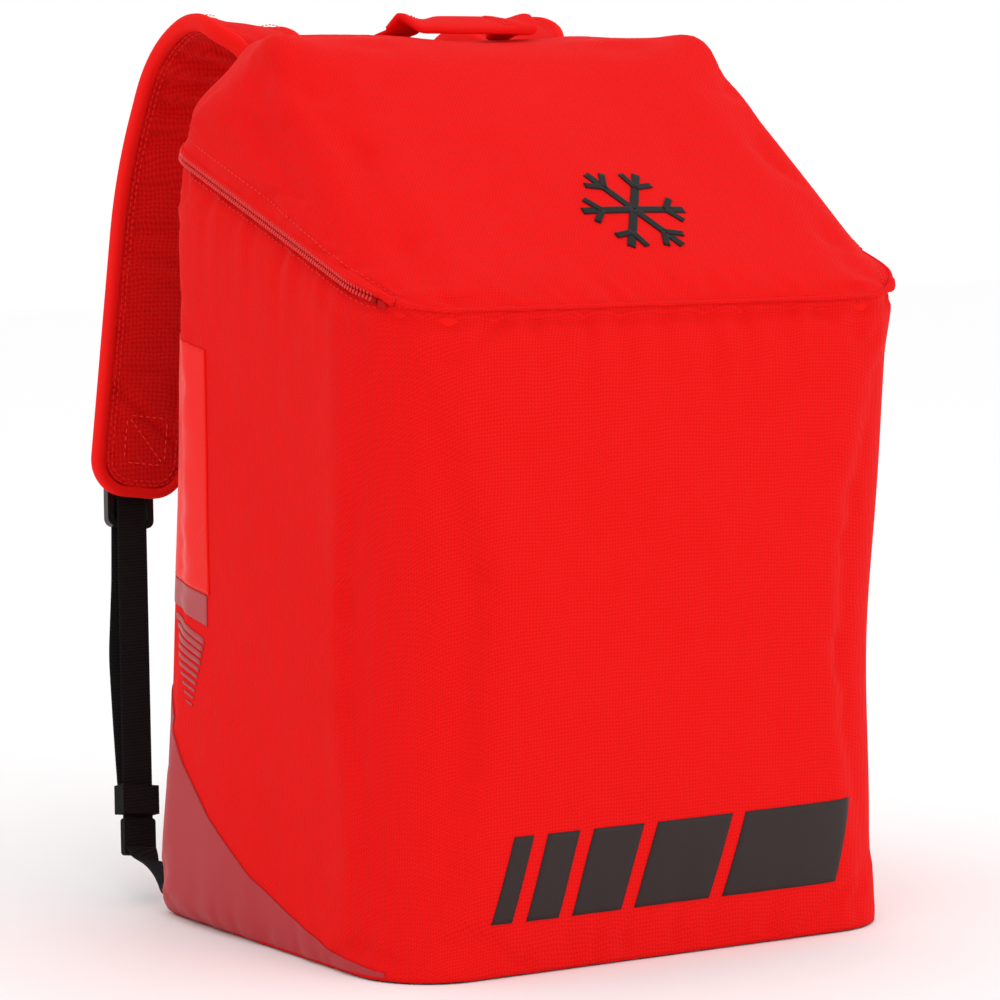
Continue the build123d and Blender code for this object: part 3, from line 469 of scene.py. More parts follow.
RED = (0.86, 0.004, 0.0035)
# shade in the woven looks: how dark the weave's low parts are painted, as painted shade between the yarns
LOOKS = (
    ("main_cloth", woven, RED),
    ("back_cloth", woven, (0.74, 0.004, 0.004)),
    ("strap_cloth", woven, (0.84, 0.004, 0.0035)),
    ("lining", woven, (0.82, 0.004, 0.0035), dict(pitch=0.0028, depth=0.0004, shade=0.62, sheen=0.2)),
    ("binding", woven, (0.87, 0.006, 0.004), dict(pitch=0.0010, depth=0.00008, shade=0.9)),
    ("handle_cloth", woven, (0.86, 0.005, 0.0035), dict(pitch=0.0013, depth=0.00012)),
    ("gusset", coated, (0.43, 0.030, 0.037), dict(rough=0.5, coat=0.0, spread=0.05, specular=0.2)),
    ("film", coated, (0.88, 0.006, 0.002), dict(rough=0.30, coat=0.0, spread=0.02, specular=0.07)),
    ("print", coated, (0.43, 0.035, 0.042), dict(rough=0.45, spread=0.06)),
    ("dark_print", coated, (0.022, 0.012, 0.011), dict(rough=0.55, coat=0.0, spread=0.15)),
    ("emblem", coated, (0.005, 0.003, 0.003), dict(rough=0.5, coat=0.0, spread=0.15, specular=0.2)),
    ("inside", woven, (0.22, 0.010, 0.012), dict(pitch=0.0012, depth=0.0001)),
    ("base_cloth", coated, (0.030, 0.012, 0.013), dict(rough=0.7, coat=0.0)),
    ("mesh", woven, (0.030, 0.028, 0.032), dict(pitch=0.0042, depth=0.0009, shade=0.25, sheen=0.2)),
    ("tape", woven, (0.55, 0.006, 0.006), dict(pitch=0.0010, depth=0.0001)),
    ("coil", coated, (0.78, 0.020, 0.017), dict(rough=0.38, spread=0.05)),
    ("thread", coated, (0.84, 0.009, 0.006), dict(rough=0.6, coat=0.0, spread=0.04)),
    ("thread_light", coated, (0.93, 0.035, 0.025), dict(rough=0.6, coat=0.0, spread=0.04)),
    ("webbing", woven, (0.011, 0.009, 0.010), dict(pitch=0.0017, depth=0.0004, shade=0.4, weave=ribs)),
    ("buckle", coated, (0.010, 0.010, 0.011), dict(rough=0.34, coat=0.2)),
    ("zip_metal", coated, (0.30, 0.010, 0.010), dict(rough=0.3, coat=0.3)),
    ("pull", coated, (0.36, 0.010, 0.010), dict(rough=0.6, coat=0.0)),
    ("board", coated, (0.022, 0.022, 0.024), dict(rough=0.75, coat=0.0)),
)
MATERIALS = {}
for name, make, colour, *options in LOOKS:
    MATERIALS[name] = make(name, colour, **dict(*options))


def dress(obj, material, body, slot, *replaced, lining=None):
    """Give a finished piece its material, its body and the CAD nodes that it stands for."""
    obj.data.materials.append(MATERIALS[material])
    if lining:
        obj.data.materials.append(MATERIALS[lining])
        first = obj["front_faces"]
        marks = [1 if first <= i < 2 * first else 0 for i in range(len(obj.data.polygons))]
        obj.data.polygons.foreach_set("material_index", marks)
    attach(obj, body)
    if replaced:
        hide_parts(*replaced)
    return obj


# ---------------------------------------------------------------- cloth simulation
CLOTH_SETTINGS = {
    "quality": 6, "mass": 0.25, "tension_stiffness": 22, "compression_stiffness": 22, "shear_stiffness": 8,
    "bending_stiffness": 1.2, "tension_damping": 8, "air_damping": 2, "use_pressure": True,
    "uniform_pressure_force": 4.0, "vertex_group_mass": "held",
}
CLOTH_STEPS = 20
MOST_INWARD = 0.0015  # how far a simulated corner may draw in


def around(grid):
    """The mean of the four neighbours of every inner point."""
    return (grid[:-2, 1:-1] + grid[2:, 1:-1] + grid[1:-1, :-2] + grid[1:-1, 2:]) / 4


def blow_up(points, held, cap, slack=0.012):
    """Simulate a grid as cloth under pressure. held is 1 where a seam keeps it in place."""
    rows, columns = points.shape[:2]
    normals = grid_normals(points)
    obj = make_object("cloth_draft", points.reshape(-1, 3), grid_faces(rows, columns))
    group = obj.vertex_groups.new(name="held")
    for index in np.nonzero(held.ravel() > 0)[0]:
        group.add([int(index)], float(held.ravel()[index]), "REPLACE")
    cloth = obj.modifiers.new("Cloth", "CLOTH")
    settings = cloth.settings
    for setting, value in CLOTH_SETTINGS.items():
        setattr(settings, setting, value)
    settings.shrink_min = -slack
    settings.effector_weights.gravity = 0
    cloth.collision_settings.use_collision = False
    scene = bpy.context.scene
    for step in range(1, CLOTH_STEPS + 1):
        scene.frame_set(step)
    made = obj.evaluated_get(bpy.context.evaluated_depsgraph_get()).data
    moved = np.zeros(len(made.vertices) * 3)
    made.vertices.foreach_get("co", moved)
    scene.frame_set(1)
    bpy.data.objects.remove(obj)
    change = moved.reshape(points.shape) - points
    sunk = np.maximum(-(change * normals).sum(axis=2, keepdims=True) - MOST_INWARD, 0)
    change = change + normals * sunk
    size = np.linalg.norm(change, axis=2, keepdims=True)
    limit = np.broadcast_to(cap, points.shape[:2])[..., None]
    return points + change * np.tanh(size / limit) * limit / np.maximum(size, 1e-9)


def seam_hold(rows, columns):
    """Every edge of a grid held by its seam."""
    held = np.zeros((rows, columns))
    held[0] = held[-1] = 1
    held[:, 0] = held[:, -1] = 1
    return held


# ---------------------------------------------------------------- bag walls: front, sides and corners
floor_loop = on_floor(plan(BASE_WIDTH, BASE_DEPTH))
zip_loop = on_zip(plan(ZIP_WIDTH, ZIP_RUN))
wall_height = np.linalg.norm(zip_loop - floor_loop, axis=1)
open_share = smooth((zip_loop[:, 1] - ZIP_END_Y + 0.006) / 0.012)  # 0 at the front seam, 1 along the zip
top_gap = COIL_BAY * open_share / wall_height


def wall_rest():
    """The walls before they are filled out: rows from the base seam to the zip."""
    share = np.linspace(0.0018, 1, ROWS)[:, None] * (1 - top_gap)[None]
    return floor_loop[None] * (1 - share[..., None]) + zip_loop[None] * share[..., None]


def corner_share(points):
    """1 along the two upright front corners, falling to 0 away from them."""
    column = np.arange(points.shape[1]) * (C_LAST / (points.shape[1] - 1))
    left = np.exp(-(((column - (C_CORNER + C_FRONT) / 2) / 9) ** 2))
    right = np.exp(-(((column - (C_FRONT_END + C_RIGHT) / 2) / 9) ** 2))
    return (left + right)[None, :] * np.ones((points.shape[0], 1))


WAIST_HEIGHT, WAIST_SPREAD, WAIST_DEPTH = 0.165, 0.105, 0.0060
SEAM_TUCK, SEAM_REACH = 0.0085, 0.0055
LOW_BULGE, LOW_BULGE_HEIGHT = 0.0055, 0.13
DIMPLE_DEPTH, DIMPLE_X, DIMPLE_Z = 0.0022, 0.085, 0.285
ROLL_DEPTH = 0.0016  # slow unevenness over the whole cloth
BASE_COVER = 0.0009  # how far the walls stand out over the base
CAP_FRONT, CAP_DROP = 0.0075, 0.0040  # how far the simulation may fill the walls out; less on the sides


def settle(points):
    """The cloth hangs between its stiff seams: drawn in at the waist, with shallow dimples."""
    normals = grid_normals(points)
    x, y, z = np.moveaxis(points, 2, 0)
    waist = np.exp(-(((z - WAIST_HEIGHT) / WAIST_SPREAD) ** 2)) * corner_share(points)
    dimple = np.exp(-(((x + DIMPLE_X) / 0.05) ** 2) - (((z - DIMPLE_Z) / 0.035) ** 2)) * (y < -0.09)
    roll = np.sin(x * 31 + z * 17) * np.sin(z * 23 - y * 29 + 1.0) * np.sin(y * 13 + x * 9 + 0.5)
    below_zip = HINGE_HEIGHT + ZIP_RISE * (y - FRONT_Y) / ZIP_DEPTH - z
    tuck = np.exp(-below_zip / SEAM_REACH) * (1 - np.exp(-below_zip / (SEAM_REACH / 3)))
    inward = WAIST_DEPTH * waist + DIMPLE_DEPTH * dimple + ROLL_DEPTH * roll
    low = smooth(z / 0.012) * np.exp(-((z / LOW_BULGE_HEIGHT) ** 2)) * smooth((y + 0.02) / 0.08)
    edge = smooth(np.minimum(z / 0.05, below_zip / 0.04))
    over_base = BASE_COVER * np.exp(-((z / 0.008) ** 2))
    return points - normals * (inward * edge + SEAM_TUCK * tuck - LOW_BULGE * low - over_base)[..., None]


walls = wall_rest()
column_y = floor_loop[:, 1]
wall_cap = (CAP_FRONT - CAP_DROP * smooth((column_y - FRONT_Y - 0.03) / 0.05))[None, :] * np.ones((ROWS, 1))
walls = settle(blow_up(walls, seam_hold(*walls.shape[:2]), cap=wall_cap))


def puckers(points, distance, along, size, pitch, reach):
    """Small folds that run away from a seam and fade with distance."""
    normals = grid_normals(points)
    wave = np.sin(2 * math.pi * along / pitch) + 0.6 * np.sin(2 * math.pi * along / (pitch * 0.618) + 1.3)
    fade = np.exp(-distance / reach) * (1 - np.exp(-distance / 0.003))
    return points + normals * (size * wave * fade)[..., None]


wall_run = lengths(walls, 1)
wall_up = lengths(walls, 0)
walls = puckers(walls, wall_up[-1][None] - wall_up, wall_run, 0.0011, 0.027, 0.020)
walls = puckers(walls, wall_up, wall_run, 0.0007, 0.033, 0.018)
walls = finer(walls)
wall_normals = grid_normals(walls)
wall_rows, wall_columns = walls.shape[:2]

bag_walls = sheet_object("bag_walls", walls, CLOTH)
dress(bag_walls, "main_cloth", "bag", "main_cloth", "main_panel", lining="inside")


def wall_at(column, height, lift):
    """Points on the finished walls at (fractional) coarse columns and heights."""
    column = np.asarray(column, float) * 2
    height = np.asarray(height, float)
    low = np.floor(column).astype(int).clip(0, wall_columns - 2)
    rows = np.empty_like(column)
    for index in np.ndindex(column.shape):
        profile = walls[:, low[index], 2]
        rows[index] = np.interp(height[index], profile, np.arange(wall_rows))
    return sample(walls, rows, column) + unit(sample(wall_normals, rows, column)) * lift


def column_for_y(side, y, height):
    """The coarse column on one side of the bag whose rest place has this y."""
    share = height / 0.42
    loop = floor_loop * (1 - share) + zip_loop * share
    if side < 0:
        return np.interp(-y, -loop[: C_FRONT + 1, 1], np.arange(C_FRONT + 1))
    back = np.arange(C_LAST, C_FRONT_END - 1, -1)
    return np.interp(-y, -loop[back, 1], back)


def column_for_x(x, height):
    """The coarse column across the front whose rest place has this x."""
    share = height / HINGE_HEIGHT
    half = (BASE_WIDTH / 2 - FRONT_RADIUS) * (1 - share) + (ZIP_WIDTH / 2 - FRONT_RADIUS) * share
    inner = C_FRONT + (x / half + 1) / 2 * FRONT_STEPS
    beyond = (abs(x) - half) / (FRONT_RADIUS * math.pi / 2) * FRONT_ARC
    return inner if abs(x) <= half else (C_FRONT_END + beyond if x > 0 else C_FRONT - beyond)


# ---------------------------------------------------------------- lower gussets, film and prints
def gusset_height(y):
    """The seam between cloth and coated gusset, in side view."""
    return np.interp(y, [-0.118, -0.070, -0.030, 0.011, 0.054, 0.084, 0.103, 0.111, 0.136],
                     [0.004, 0.010, 0.022, 0.038, 0.066, 0.092, 0.115, 0.128, 0.150])


def wall_patch(across, up, lift, place):
    """A grid pressed onto the walls. place gives the column and height of row i, column j."""
    spots = np.array([[place(i, j) for j in range(across)] for i in range(up)])
    return wall_at(spots[..., 0], spots[..., 1], lift)


def side_patch(side, ys, edges, lift, up):
    """A patch on one side: its lower and upper edges are functions of y."""

    def place(i, j):
        low, high = edges(ys[j])
        height = low + (high - low) * i / (up - 1)
        return column_for_y(side, ys[j], height), height

    points = wall_patch(len(ys), up, lift, place)
    return points[:, ::-1] if side > 0 else points


BACK_EDGE_Y = 0.1355
SIDE_PATCHES = (  # name, material, slot, CAD node, y span, lower and upper edge at y, thickness, grid steps
    ("gusset", "gusset", "coated_cloth", "lower_gusset", (BACK_EDGE_Y, -0.112),
     lambda y: (0.0025, float(gusset_height(y))), 0.0008, (110, 44)),
    ("film", "film", "film", "side_film", (BACK_EDGE_Y - 0.002, 0.053),
     lambda y: (0.192 + 0.12 * (y - 0.064), 0.328 + 0.15 * (y - 0.056)), 0.0006, (44, 60)),
    ("print_band", "print", "side_print", "side_stripes", (BACK_EDGE_Y - 0.002, 0.056),
     lambda y: (0.175 + 0.17 * (y - 0.068), 0.191 + 0.12 * (y - 0.064)), 0.0005, (44, 12)),
)
for side_name, side in SIDES:
    for name, look, slot, node_name, y_span, edges, thickness, steps in SIDE_PATCHES:
        points = side_patch(side, np.linspace(*y_span, steps[0]), edges, thickness, steps[1])
        patch = sheet_object(f"{name}_{side_name}", points, thickness)
        dress(patch, look, "bag", slot, f"{node_name}_{side_name}")


PRINT_LIFT, STRIPE_RISE = 0.0005, 0.26


def stripe(side, index):
    """One slanted stripe below the band, as points on the wall."""
    back, front = 0.102 - 0.0024 * index, 0.060 + 0.0015 * index
    top, thick = 0.1765 - 0.0053 * index, 0.0036 - 0.00027 * index

    def edges(y):
        high = top + STRIPE_RISE * (y - back)
        return high - thick, high

    return side_patch(side, np.linspace(back, front, 14), edges, PRINT_LIFT, 3)


STRIPES = 10
for side_name, side in SIDES:
    for index in range(STRIPES):
        piece = sheet_object(f"stripe_{side_name}_{index + 1}", stripe(side, index), PRINT_LIFT)
        dress(piece, "print", "bag", "side_print")

BAR_LOW, BAR_HIGH, BAR_LEAN, BAR_GAP = 0.030, 0.076, 0.014, 0.009
BAR_WIDTHS = (0.012, 0.020, 0.032, 0.050, 0.078)
bar_right = 0.128
for index, width in enumerate(reversed(BAR_WIDTHS)):
    across, up = max(6, int(width / 0.003)), 16

    def on_bar(i, j):
        height = BAR_LOW + (BAR_HIGH - BAR_LOW) * i / (up - 1)
        x = bar_right - BAR_LEAN * (1 - i / (up - 1)) - width * (1 - j / (across - 1))
        return column_for_x(x, height), height

    bar = sheet_object(f"front_bar_{index + 1}", wall_patch(across, up, PRINT_LIFT, on_bar), PRINT_LIFT)
    dress(bar, "dark_print", "bag", "dark_print", *(["front_print"] if index == 0 else []))
    bar_right -= width + BAR_GAP


# ---------------------------------------------------------------- zip line, from the left end to the right
def even(path, count, step=0.0015):
    """A path as a number of evenly spaced points."""
    made = resample(path, step)[0]
    at = np.linspace(0, len(made) - 1, count)
    return np.column_stack([np.interp(at, np.arange(len(made)), made[:, k]) for k in range(3)])


def eased(path, times):
    """A path with its corners worn down."""
    for _ in range(times):
        path[1:-1] = path[1:-1] * 0.5 + (path[:-2] + path[2:]) * 0.25
    return path


def arch_outline(steps):
    """The zip round the top of the back, from its left foot to its right foot, as (x, z)."""
    half, top, chamfer = ARCH_HALF, ARCH_HEIGHT, ARCH_CHAMFER
    corners = [
        (-half - 0.005, ZIP_BACK_HEIGHT), (-half, ZIP_BACK_HEIGHT), (-half, top - chamfer),
        (chamfer - half, top), (half - chamfer, top), (half, top - chamfer),
        (half, ZIP_BACK_HEIGHT), (half + 0.005, ZIP_BACK_HEIGHT),
    ]
    path = np.array([(x, 0, z) for x, z in corners])
    for _ in range(3):
        path = eased(resample(path, 0.002)[0], 40)
    return even(path, steps, 0.001)[:, [0, 2]]


ARCH_STEPS = 84
arch = arch_outline(ARCH_STEPS + 1)
arch_line = np.column_stack([arch[:, 0], back_y(arch[:, 1]), arch[:, 1]])
left_line = zip_loop[: C_FRONT + 1][::-1]
right_line = zip_loop[C_FRONT_END:][::-1]
keep_left = left_line[:, 1] >= ZIP_END_Y - 0.002
keep_right = right_line[:, 1] >= ZIP_END_Y - 0.002
zip_line = np.concatenate([left_line[keep_left][:-1], arch_line, right_line[keep_right][1:]])
zip_line = resample(zip_line, 0.0022)[0]
BACK_OUT = unit(np.array([0, 1, BACK_LEAN]))
zip_tangent = unit(np.gradient(zip_line, axis=0))
side_out = unit(np.cross(np.broadcast_to(ZIP_UP, zip_tangent.shape), zip_tangent))
behind = smooth((zip_line[:, 1] - (ZIP_BACK_Y - 0.010)) / 0.009)[:, None]
zip_out = unit(side_out * (1 - behind) + BACK_OUT * behind)
zip_up = unit(np.cross(zip_tangent, zip_out))


def ribbon(low, high, recess, lean, rows=5):
    """A band along the zip between two offsets across it, sunk by a recess and leaning in."""
    near_end = smooth((zip_line[:, 1] - ZIP_END_Y - 0.004) / 0.030)[None, :, None]
    share = np.linspace(low, high, rows)[:, None, None]
    share = np.where(share > 0, share * (0.35 + 0.65 * near_end), share)
    depth = recess + lean * np.abs(share)
    return (zip_line[None] + zip_up[None] * share - zip_out[None] * depth)[:, ::-1]


TAPE_RECESS, TAPE_THICK = 0.0010, 0.0008
lower_tape = sheet_object("zip_tape_lower", ribbon(-0.0095, -0.0002, TAPE_RECESS, 0.35), TAPE_THICK)
dress(lower_tape, "tape", "bag", "zip_tape", "zip_tape_bag", "arch_tape_bag")
upper_tape = sheet_object("zip_tape_upper", ribbon(0.0002, 0.0060, TAPE_RECESS, 1.1), TAPE_THICK)
dress(upper_tape, "tape", "lid", "zip_tape", "zip_tape_lid")

TOOTH_PITCH = 0.0023
TURN_SIZE = (0.0032, 0.0015, 0.0018)  # length across the chain, width, height
ARCH_SINK = 0.0011  # the chain over the arch lies deeper, clear of the sliders


def coil(name, sign, body, *replaced):
    """One half of the zip chain: a row of coil turns beside the zip line."""
    spots, index = resample(zip_line, TOOTH_PITCH)
    at = np.clip(np.round(index).astype(int), 0, len(zip_line) - 1)
    pieces = []
    for spot, i in zip(spots[1:-1], at[1:-1]):
        out, up, forward = zip_out[i], zip_up[i], zip_tangent[i]
        proud = 0.0003 - ARCH_SINK * smooth((spot[2] - 0.478) / 0.008)
        centre = spot + up * sign * 0.00160 + out * proud
        lean = unit(up * sign + forward * 0.18)
        pieces.append(bead(centre, lean, out, *TURN_SIZE))
    obj = joined(name, pieces)
    return dress(obj, "coil", body, "zip_coil", *replaced)


coil("zip_coil_lower", -1, "bag", "zip_coil_bag", "arch_coil_bag")
coil("zip_coil_upper", 1, "lid", "zip_coil_lid", "arch_coil_lid")


# ---------------------------------------------------------------- lid
def lid_boundary():
    """Four edges of the lid's cloth: front, left, back over the arch, right; each with its ends."""
    lifted = zip_loop + ZIP_UP * (COIL_BAY * open_share)[:, None]
    left_mid = (C_CORNER + C_FRONT) // 2
    right_mid = (C_FRONT_END + C_RIGHT) // 2
    front = lifted[left_mid: right_mid + 1]
    left = lifted[: left_mid + 1][::-1]
    right = lifted[right_mid:]
    top = arch_line.copy()
    tangent = unit(np.gradient(top, axis=0))
    away = unit(np.cross(tangent, BACK_OUT))
    top = top + away * COIL_BAY
    left = np.concatenate([left, top[:1]])
    right = np.concatenate([right, top[-1:]])
    return front, left, top, right


LID_ACROSS, LID_DEEP = 70, 54
front_edge, left_edge, back_edge, right_edge = lid_boundary()
front_edge, back_edge = even(front_edge, LID_ACROSS), even(back_edge, LID_ACROSS)
left_edge, right_edge = even(left_edge, LID_DEEP), even(right_edge, LID_DEEP)

side_rise = RIDGE_HEIGHT - (HINGE_HEIGHT + math.tan(ZIP_ANGLE) * (RIDGE_Y - FRONT_Y))
SIDE_SLOPE = side_rise / (ZIP_WIDTH / 2 - RIDGE_HALF)


def plane_through(point, normal):
    normal = unit(np.array(normal, float))
    return normal, float(normal @ np.array(point, float))


def lid_planes():
    """The flat faces that the lid's soft form is drawn over."""
    front_rise = (RIDGE_HEIGHT - HINGE_HEIGHT) / (RIDGE_Y - FRONT_Y)
    top_fall = (RIDGE_HEIGHT - LID_BACK_HEIGHT) / (back_y(LID_BACK_HEIGHT) - RIDGE_Y)
    made = [
        plane_through((0, FRONT_Y, HINGE_HEIGHT), (0, -front_rise, 1)),
        plane_through((0, RIDGE_Y, RIDGE_HEIGHT), (0, top_fall, 1)),
        plane_through((0, back_y(LID_BACK_HEIGHT), LID_BACK_HEIGHT), BACK_OUT),
    ]
    for side in (-1, 1):
        made.append(plane_through((side * ZIP_WIDTH / 2, FRONT_Y, HINGE_HEIGHT),
                                  (side * SIDE_SLOPE, -math.tan(ZIP_ANGLE), 1)))
        made.append(plane_through((side * LID_BACK_HALF, 0.100, LID_BACK_HEIGHT), (side * 1.4, 0.544, 1)))
        made.append(plane_through((side * RIDGE_HALF, RIDGE_Y, RIDGE_HEIGHT), (side * 0.806, -0.806, 1)))
    return made


LID_PLANES = lid_planes()
LID_SOFTNESS = 0.0030


def lid_distance(points):
    """How far points lie outside the lid's soft form."""
    apart = np.stack([points @ normal - offset for normal, offset in LID_PLANES])
    top = apart.max(axis=0)
    return top + LID_SOFTNESS * np.log(np.exp((apart - top) / LID_SOFTNESS).sum(axis=0))


def span(low, high, left, right):
    """A first surface between four edges that share their corners."""
    u = np.linspace(0, 1, len(low))[None, :, None]
    v = np.linspace(0, 1, len(left))[:, None, None]
    corners = low[0] * (1 - u) * (1 - v) + low[-1] * u * (1 - v) + high[0] * (1 - u) * v + high[-1] * u * v
    return low[None] * (1 - v) + high[None] * v + left[:, None] * (1 - u) + right[:, None] * u - corners


def lid_rest():
    """The lid's cloth: the first surface pushed out from the middle onto the soft form."""
    centre = np.array([0, 0.030, 0.400])
    points = span(front_edge, back_edge, left_edge, right_edge)
    edge = points.copy()
    rounds = 60
    for turn in range(rounds):
        ray = unit(points - centre)
        reach = np.linalg.norm(points - centre, axis=2)
        low, high = np.full(reach.shape, 0.01), np.full(reach.shape, 0.4)
        for _ in range(26):
            middle = (low + high) / 2
            outside = lid_distance(centre + ray * middle[..., None]) > 0
            high = np.where(outside, middle, high)
            low = np.where(outside, low, middle)
        points[1:-1, 1:-1] = (centre + ray * low[..., None])[1:-1, 1:-1]
        if turn < rounds - 1:
            points[1:-1, 1:-1] = points[1:-1, 1:-1] * 0.4 + around(points) * 0.6
        points[0], points[-1], points[:, 0], points[:, -1] = edge[0], edge[-1], edge[:, 0], edge[:, -1]
    return points


def line_share(points, start, end, spread):
    """1 on a straight line between two places, falling to 0 away from it."""
    start, end = np.array(start), np.array(end)
    along = end - start
    share = np.clip(((points - start) @ along) / (along @ along), 0, 1)
    away = np.linalg.norm(points - (start + share[..., None] * along), axis=-1)
    return np.exp(-((away / spread) ** 2)) * smooth(share / 0.15) * smooth((1 - share) / 0.1)


RIDGE_END_POINT = 0.0045  # how far the ridge's ends stick up
SHOULDER_BULGE, RIDGE_SAG, LID_UNEVEN = 0.0062, 0.0018, 0.0010
LID_FOLDS = (  # depth, start and end on the right side, spread
    (0.0030, (0.128, 0.020, 0.490), (0.142, -0.128, 0.364), 0.012),
    (0.0022, (0.150, 0.050, 0.492), (0.140, -0.010, 0.462), 0.007),
    (-0.0020, (0.146, 0.030, 0.500), (0.160, 0.000, 0.450), 0.010),
)


def settle_lid(points):
    """The lid's cloth falls into folds beside its corners and bulges over the zip at the back."""
    normals = grid_normals(points)
    x, y, z = np.moveaxis(points, 2, 0)
    inward = np.zeros_like(x)
    for side in (-1, 1):
        for depth, start, end, spread in LID_FOLDS:
            flip = np.array([side, 1, 1])
            inward += depth * line_share(points, flip * start, flip * end, spread)
        bulge = np.exp(-(((y - 0.075) / 0.045) ** 2) - (((z - 0.458) / 0.018) ** 2)) * (side * x > 0.10)
        inward -= SHOULDER_BULGE * bulge
        to_ridge_end = np.linalg.norm(points - np.array([side * RIDGE_HALF, RIDGE_Y, RIDGE_HEIGHT]), axis=-1)
        inward -= RIDGE_END_POINT * np.exp(-((to_ridge_end / 0.017) ** 2))
    sag = np.exp(-((x / 0.09) ** 2)) * np.exp(-(((y - RIDGE_Y) / 0.035) ** 2))
    roll = np.sin(x * 37 + y * 21) * np.sin(z * 27 - y * 17 + 1.4)
    inward += RIDGE_SAG * sag + LID_UNEVEN * roll
    rows, columns = x.shape
    r, c = np.meshgrid(np.arange(rows), np.arange(columns), indexing="ij")
    edge = smooth(np.minimum(np.minimum(r, rows - 1 - r), np.minimum(c, columns - 1 - c)) / 4)
    return points - normals * (inward * edge)[..., None]


lid_points = lid_rest()
lid_points = settle_lid(blow_up(lid_points, seam_hold(LID_DEEP, LID_ACROSS), cap=0.0040, slack=0.006))
lid_run, lid_up = lengths(lid_points, 1), lengths(lid_points, 0)
lid_points = puckers(lid_points, lid_up, lid_run, 0.0007, 0.024, 0.014)
lid_points = finer(lid_points)
lid_normals = grid_normals(lid_points)
lid_cloth = sheet_object("lid_cloth", lid_points, CLOTH)
dress(lid_cloth, "main_cloth", "lid", "main_cloth", "lid_panel", "lid_foam", lining="inside")


# ---------------------------------------------------------------- pressing pieces onto cloth
def surface(points):
    """A finished grid as something that rays can hit."""
    faces = grid_faces(*points.shape[:2])
    return BVHTree.FromPolygons(points.reshape(-1, 3).tolist(), faces)


def press(points, direction, tree, lift):
    """Points moved along a direction onto a surface, and lifted off it by a little."""
    made = np.array(points, float)
    ray = Vector(direction).normalized()
    for index in np.ndindex(made.shape[:-1]):
        start = Vector(made[index]) - ray * 0.1
        spot, normal = tree.ray_cast(start, ray)[:2]
        if spot is not None:
            if normal.dot(ray) > 0:
                normal = -normal
            made[index] = spot + normal * lift
    return made


def squircle(across, up, round_share=0.35):
    """A grid from -1 to 1 both ways with its four corners drawn in."""
    a, b = np.meshgrid(np.linspace(-1, 1, across), np.linspace(-1, 1, up))
    return a * np.sqrt(1 - round_share * b * b / 2), b * np.sqrt(1 - round_share * a * a / 2), a, b


def dome(a, b, power=4):
    return np.maximum((1 - np.abs(a) ** power) * (1 - np.abs(b) ** power), 0)


# ---------------------------------------------------------------- back panel and its cushions
BACK_ACROSS, BACK_DEEP = 64, 84


def back_rest():
    """The back's cloth between the two back seams, the base and the zip's arch."""
    right_seam, left_seam = even(walls[:, -1], BACK_DEEP), even(walls[:, 0], BACK_DEEP)
    low = np.linspace(right_seam[0], left_seam[0], BACK_ACROSS)
    tangent = unit(np.gradient(arch_line, axis=0))
    inside = arch_line - unit(np.cross(tangent, BACK_OUT)) * COIL_BAY
    inside[0], inside[-1] = left_seam[-1], right_seam[-1]
    return span(low, even(inside[::-1], BACK_ACROSS), right_seam, left_seam)


back_points = finer(blow_up(back_rest(), seam_hold(BACK_DEEP, BACK_ACROSS), cap=0.0035, slack=0.004))
back_tree = surface(back_points)
back_cloth = sheet_object("back_panel_cloth", back_points, CLOTH)
dress(back_cloth, "back_cloth", "bag", "back_cloth", "back_panel", "back_foam", lining="inside")

CUSHION_X, CUSHION_HALF = 0.067, 0.051
CUSHION_Z, CUSHION_TALL = 0.222, 0.178
CUSHION_CHANNELS = (0.34, 0.67)


def cushion(side_name, side):
    """One padded cushion on the back, with sewn channels across it."""
    across, up = 26, 76
    x, z, a, b = squircle(across, up)
    behind_all = np.full(x.shape, 0.2)
    flat = np.dstack([side * CUSHION_X - x * CUSHION_HALF, behind_all, CUSHION_Z + z * CUSHION_TALL])
    seat = press(flat, (0, -1, 0), back_tree, -0.002)
    out = np.array([0, 1, BACK_LEAN])
    held = seam_hold(up, across)
    for share in CUSHION_CHANNELS:
        held[int(share * (up - 1))] = 1
    rest = seat + out * (0.0035 + 0.004 * dome(a, b))[..., None]
    for share in CUSHION_CHANNELS:
        rest[int(share * (up - 1))] -= out * 0.003
    puffed = blow_up(rest, held, cap=0.0050, slack=0.03)
    obj = closed_sheet(f"back_cushion_{side_name}", finer(puffed), finer(seat))
    dress(obj, "mesh", "bag", "mesh", f"back_pad_{side_name}")
    piping = tube(f"cushion_piping_{side_name}", rim_of(puffed) + out * 0.0004, 0.0016, 8)
    dress(piping, "back_cloth", "bag", "back_cloth")


for side_name, side in SIDES:
    cushion(side_name, side)

# ---------------------------------------------------------------- rolled edges and stitching of the seams
lid_tree = surface(lid_points)
edge_points, edge_normals = edge_loop(lid_points), edge_loop(lid_normals)
LID_ROLL = 0.0013
proud = np.where(edge_points[:, 1] < ZIP_END_Y, 0.0006, -0.0006)[:, None]
roll_path = resample(edge_points + edge_normals * proud, 0.0025)[0]
corner_place = np.array([ZIP_WIDTH / 2 - 0.012, FRONT_Y + 0.012, HINGE_HEIGHT + 0.003])
to_corner = np.linalg.norm(np.abs(roll_path) * [1, 0, 1] + roll_path * [0, 1, 0] - corner_place, axis=1)
roll_radius = LID_ROLL + 0.0014 * np.exp(-((to_corner / 0.009) ** 2))
dress(tube("lid_rolled_edge", roll_path, roll_radius, 12), "main_cloth", "lid", "main_cloth", "lid_welt")

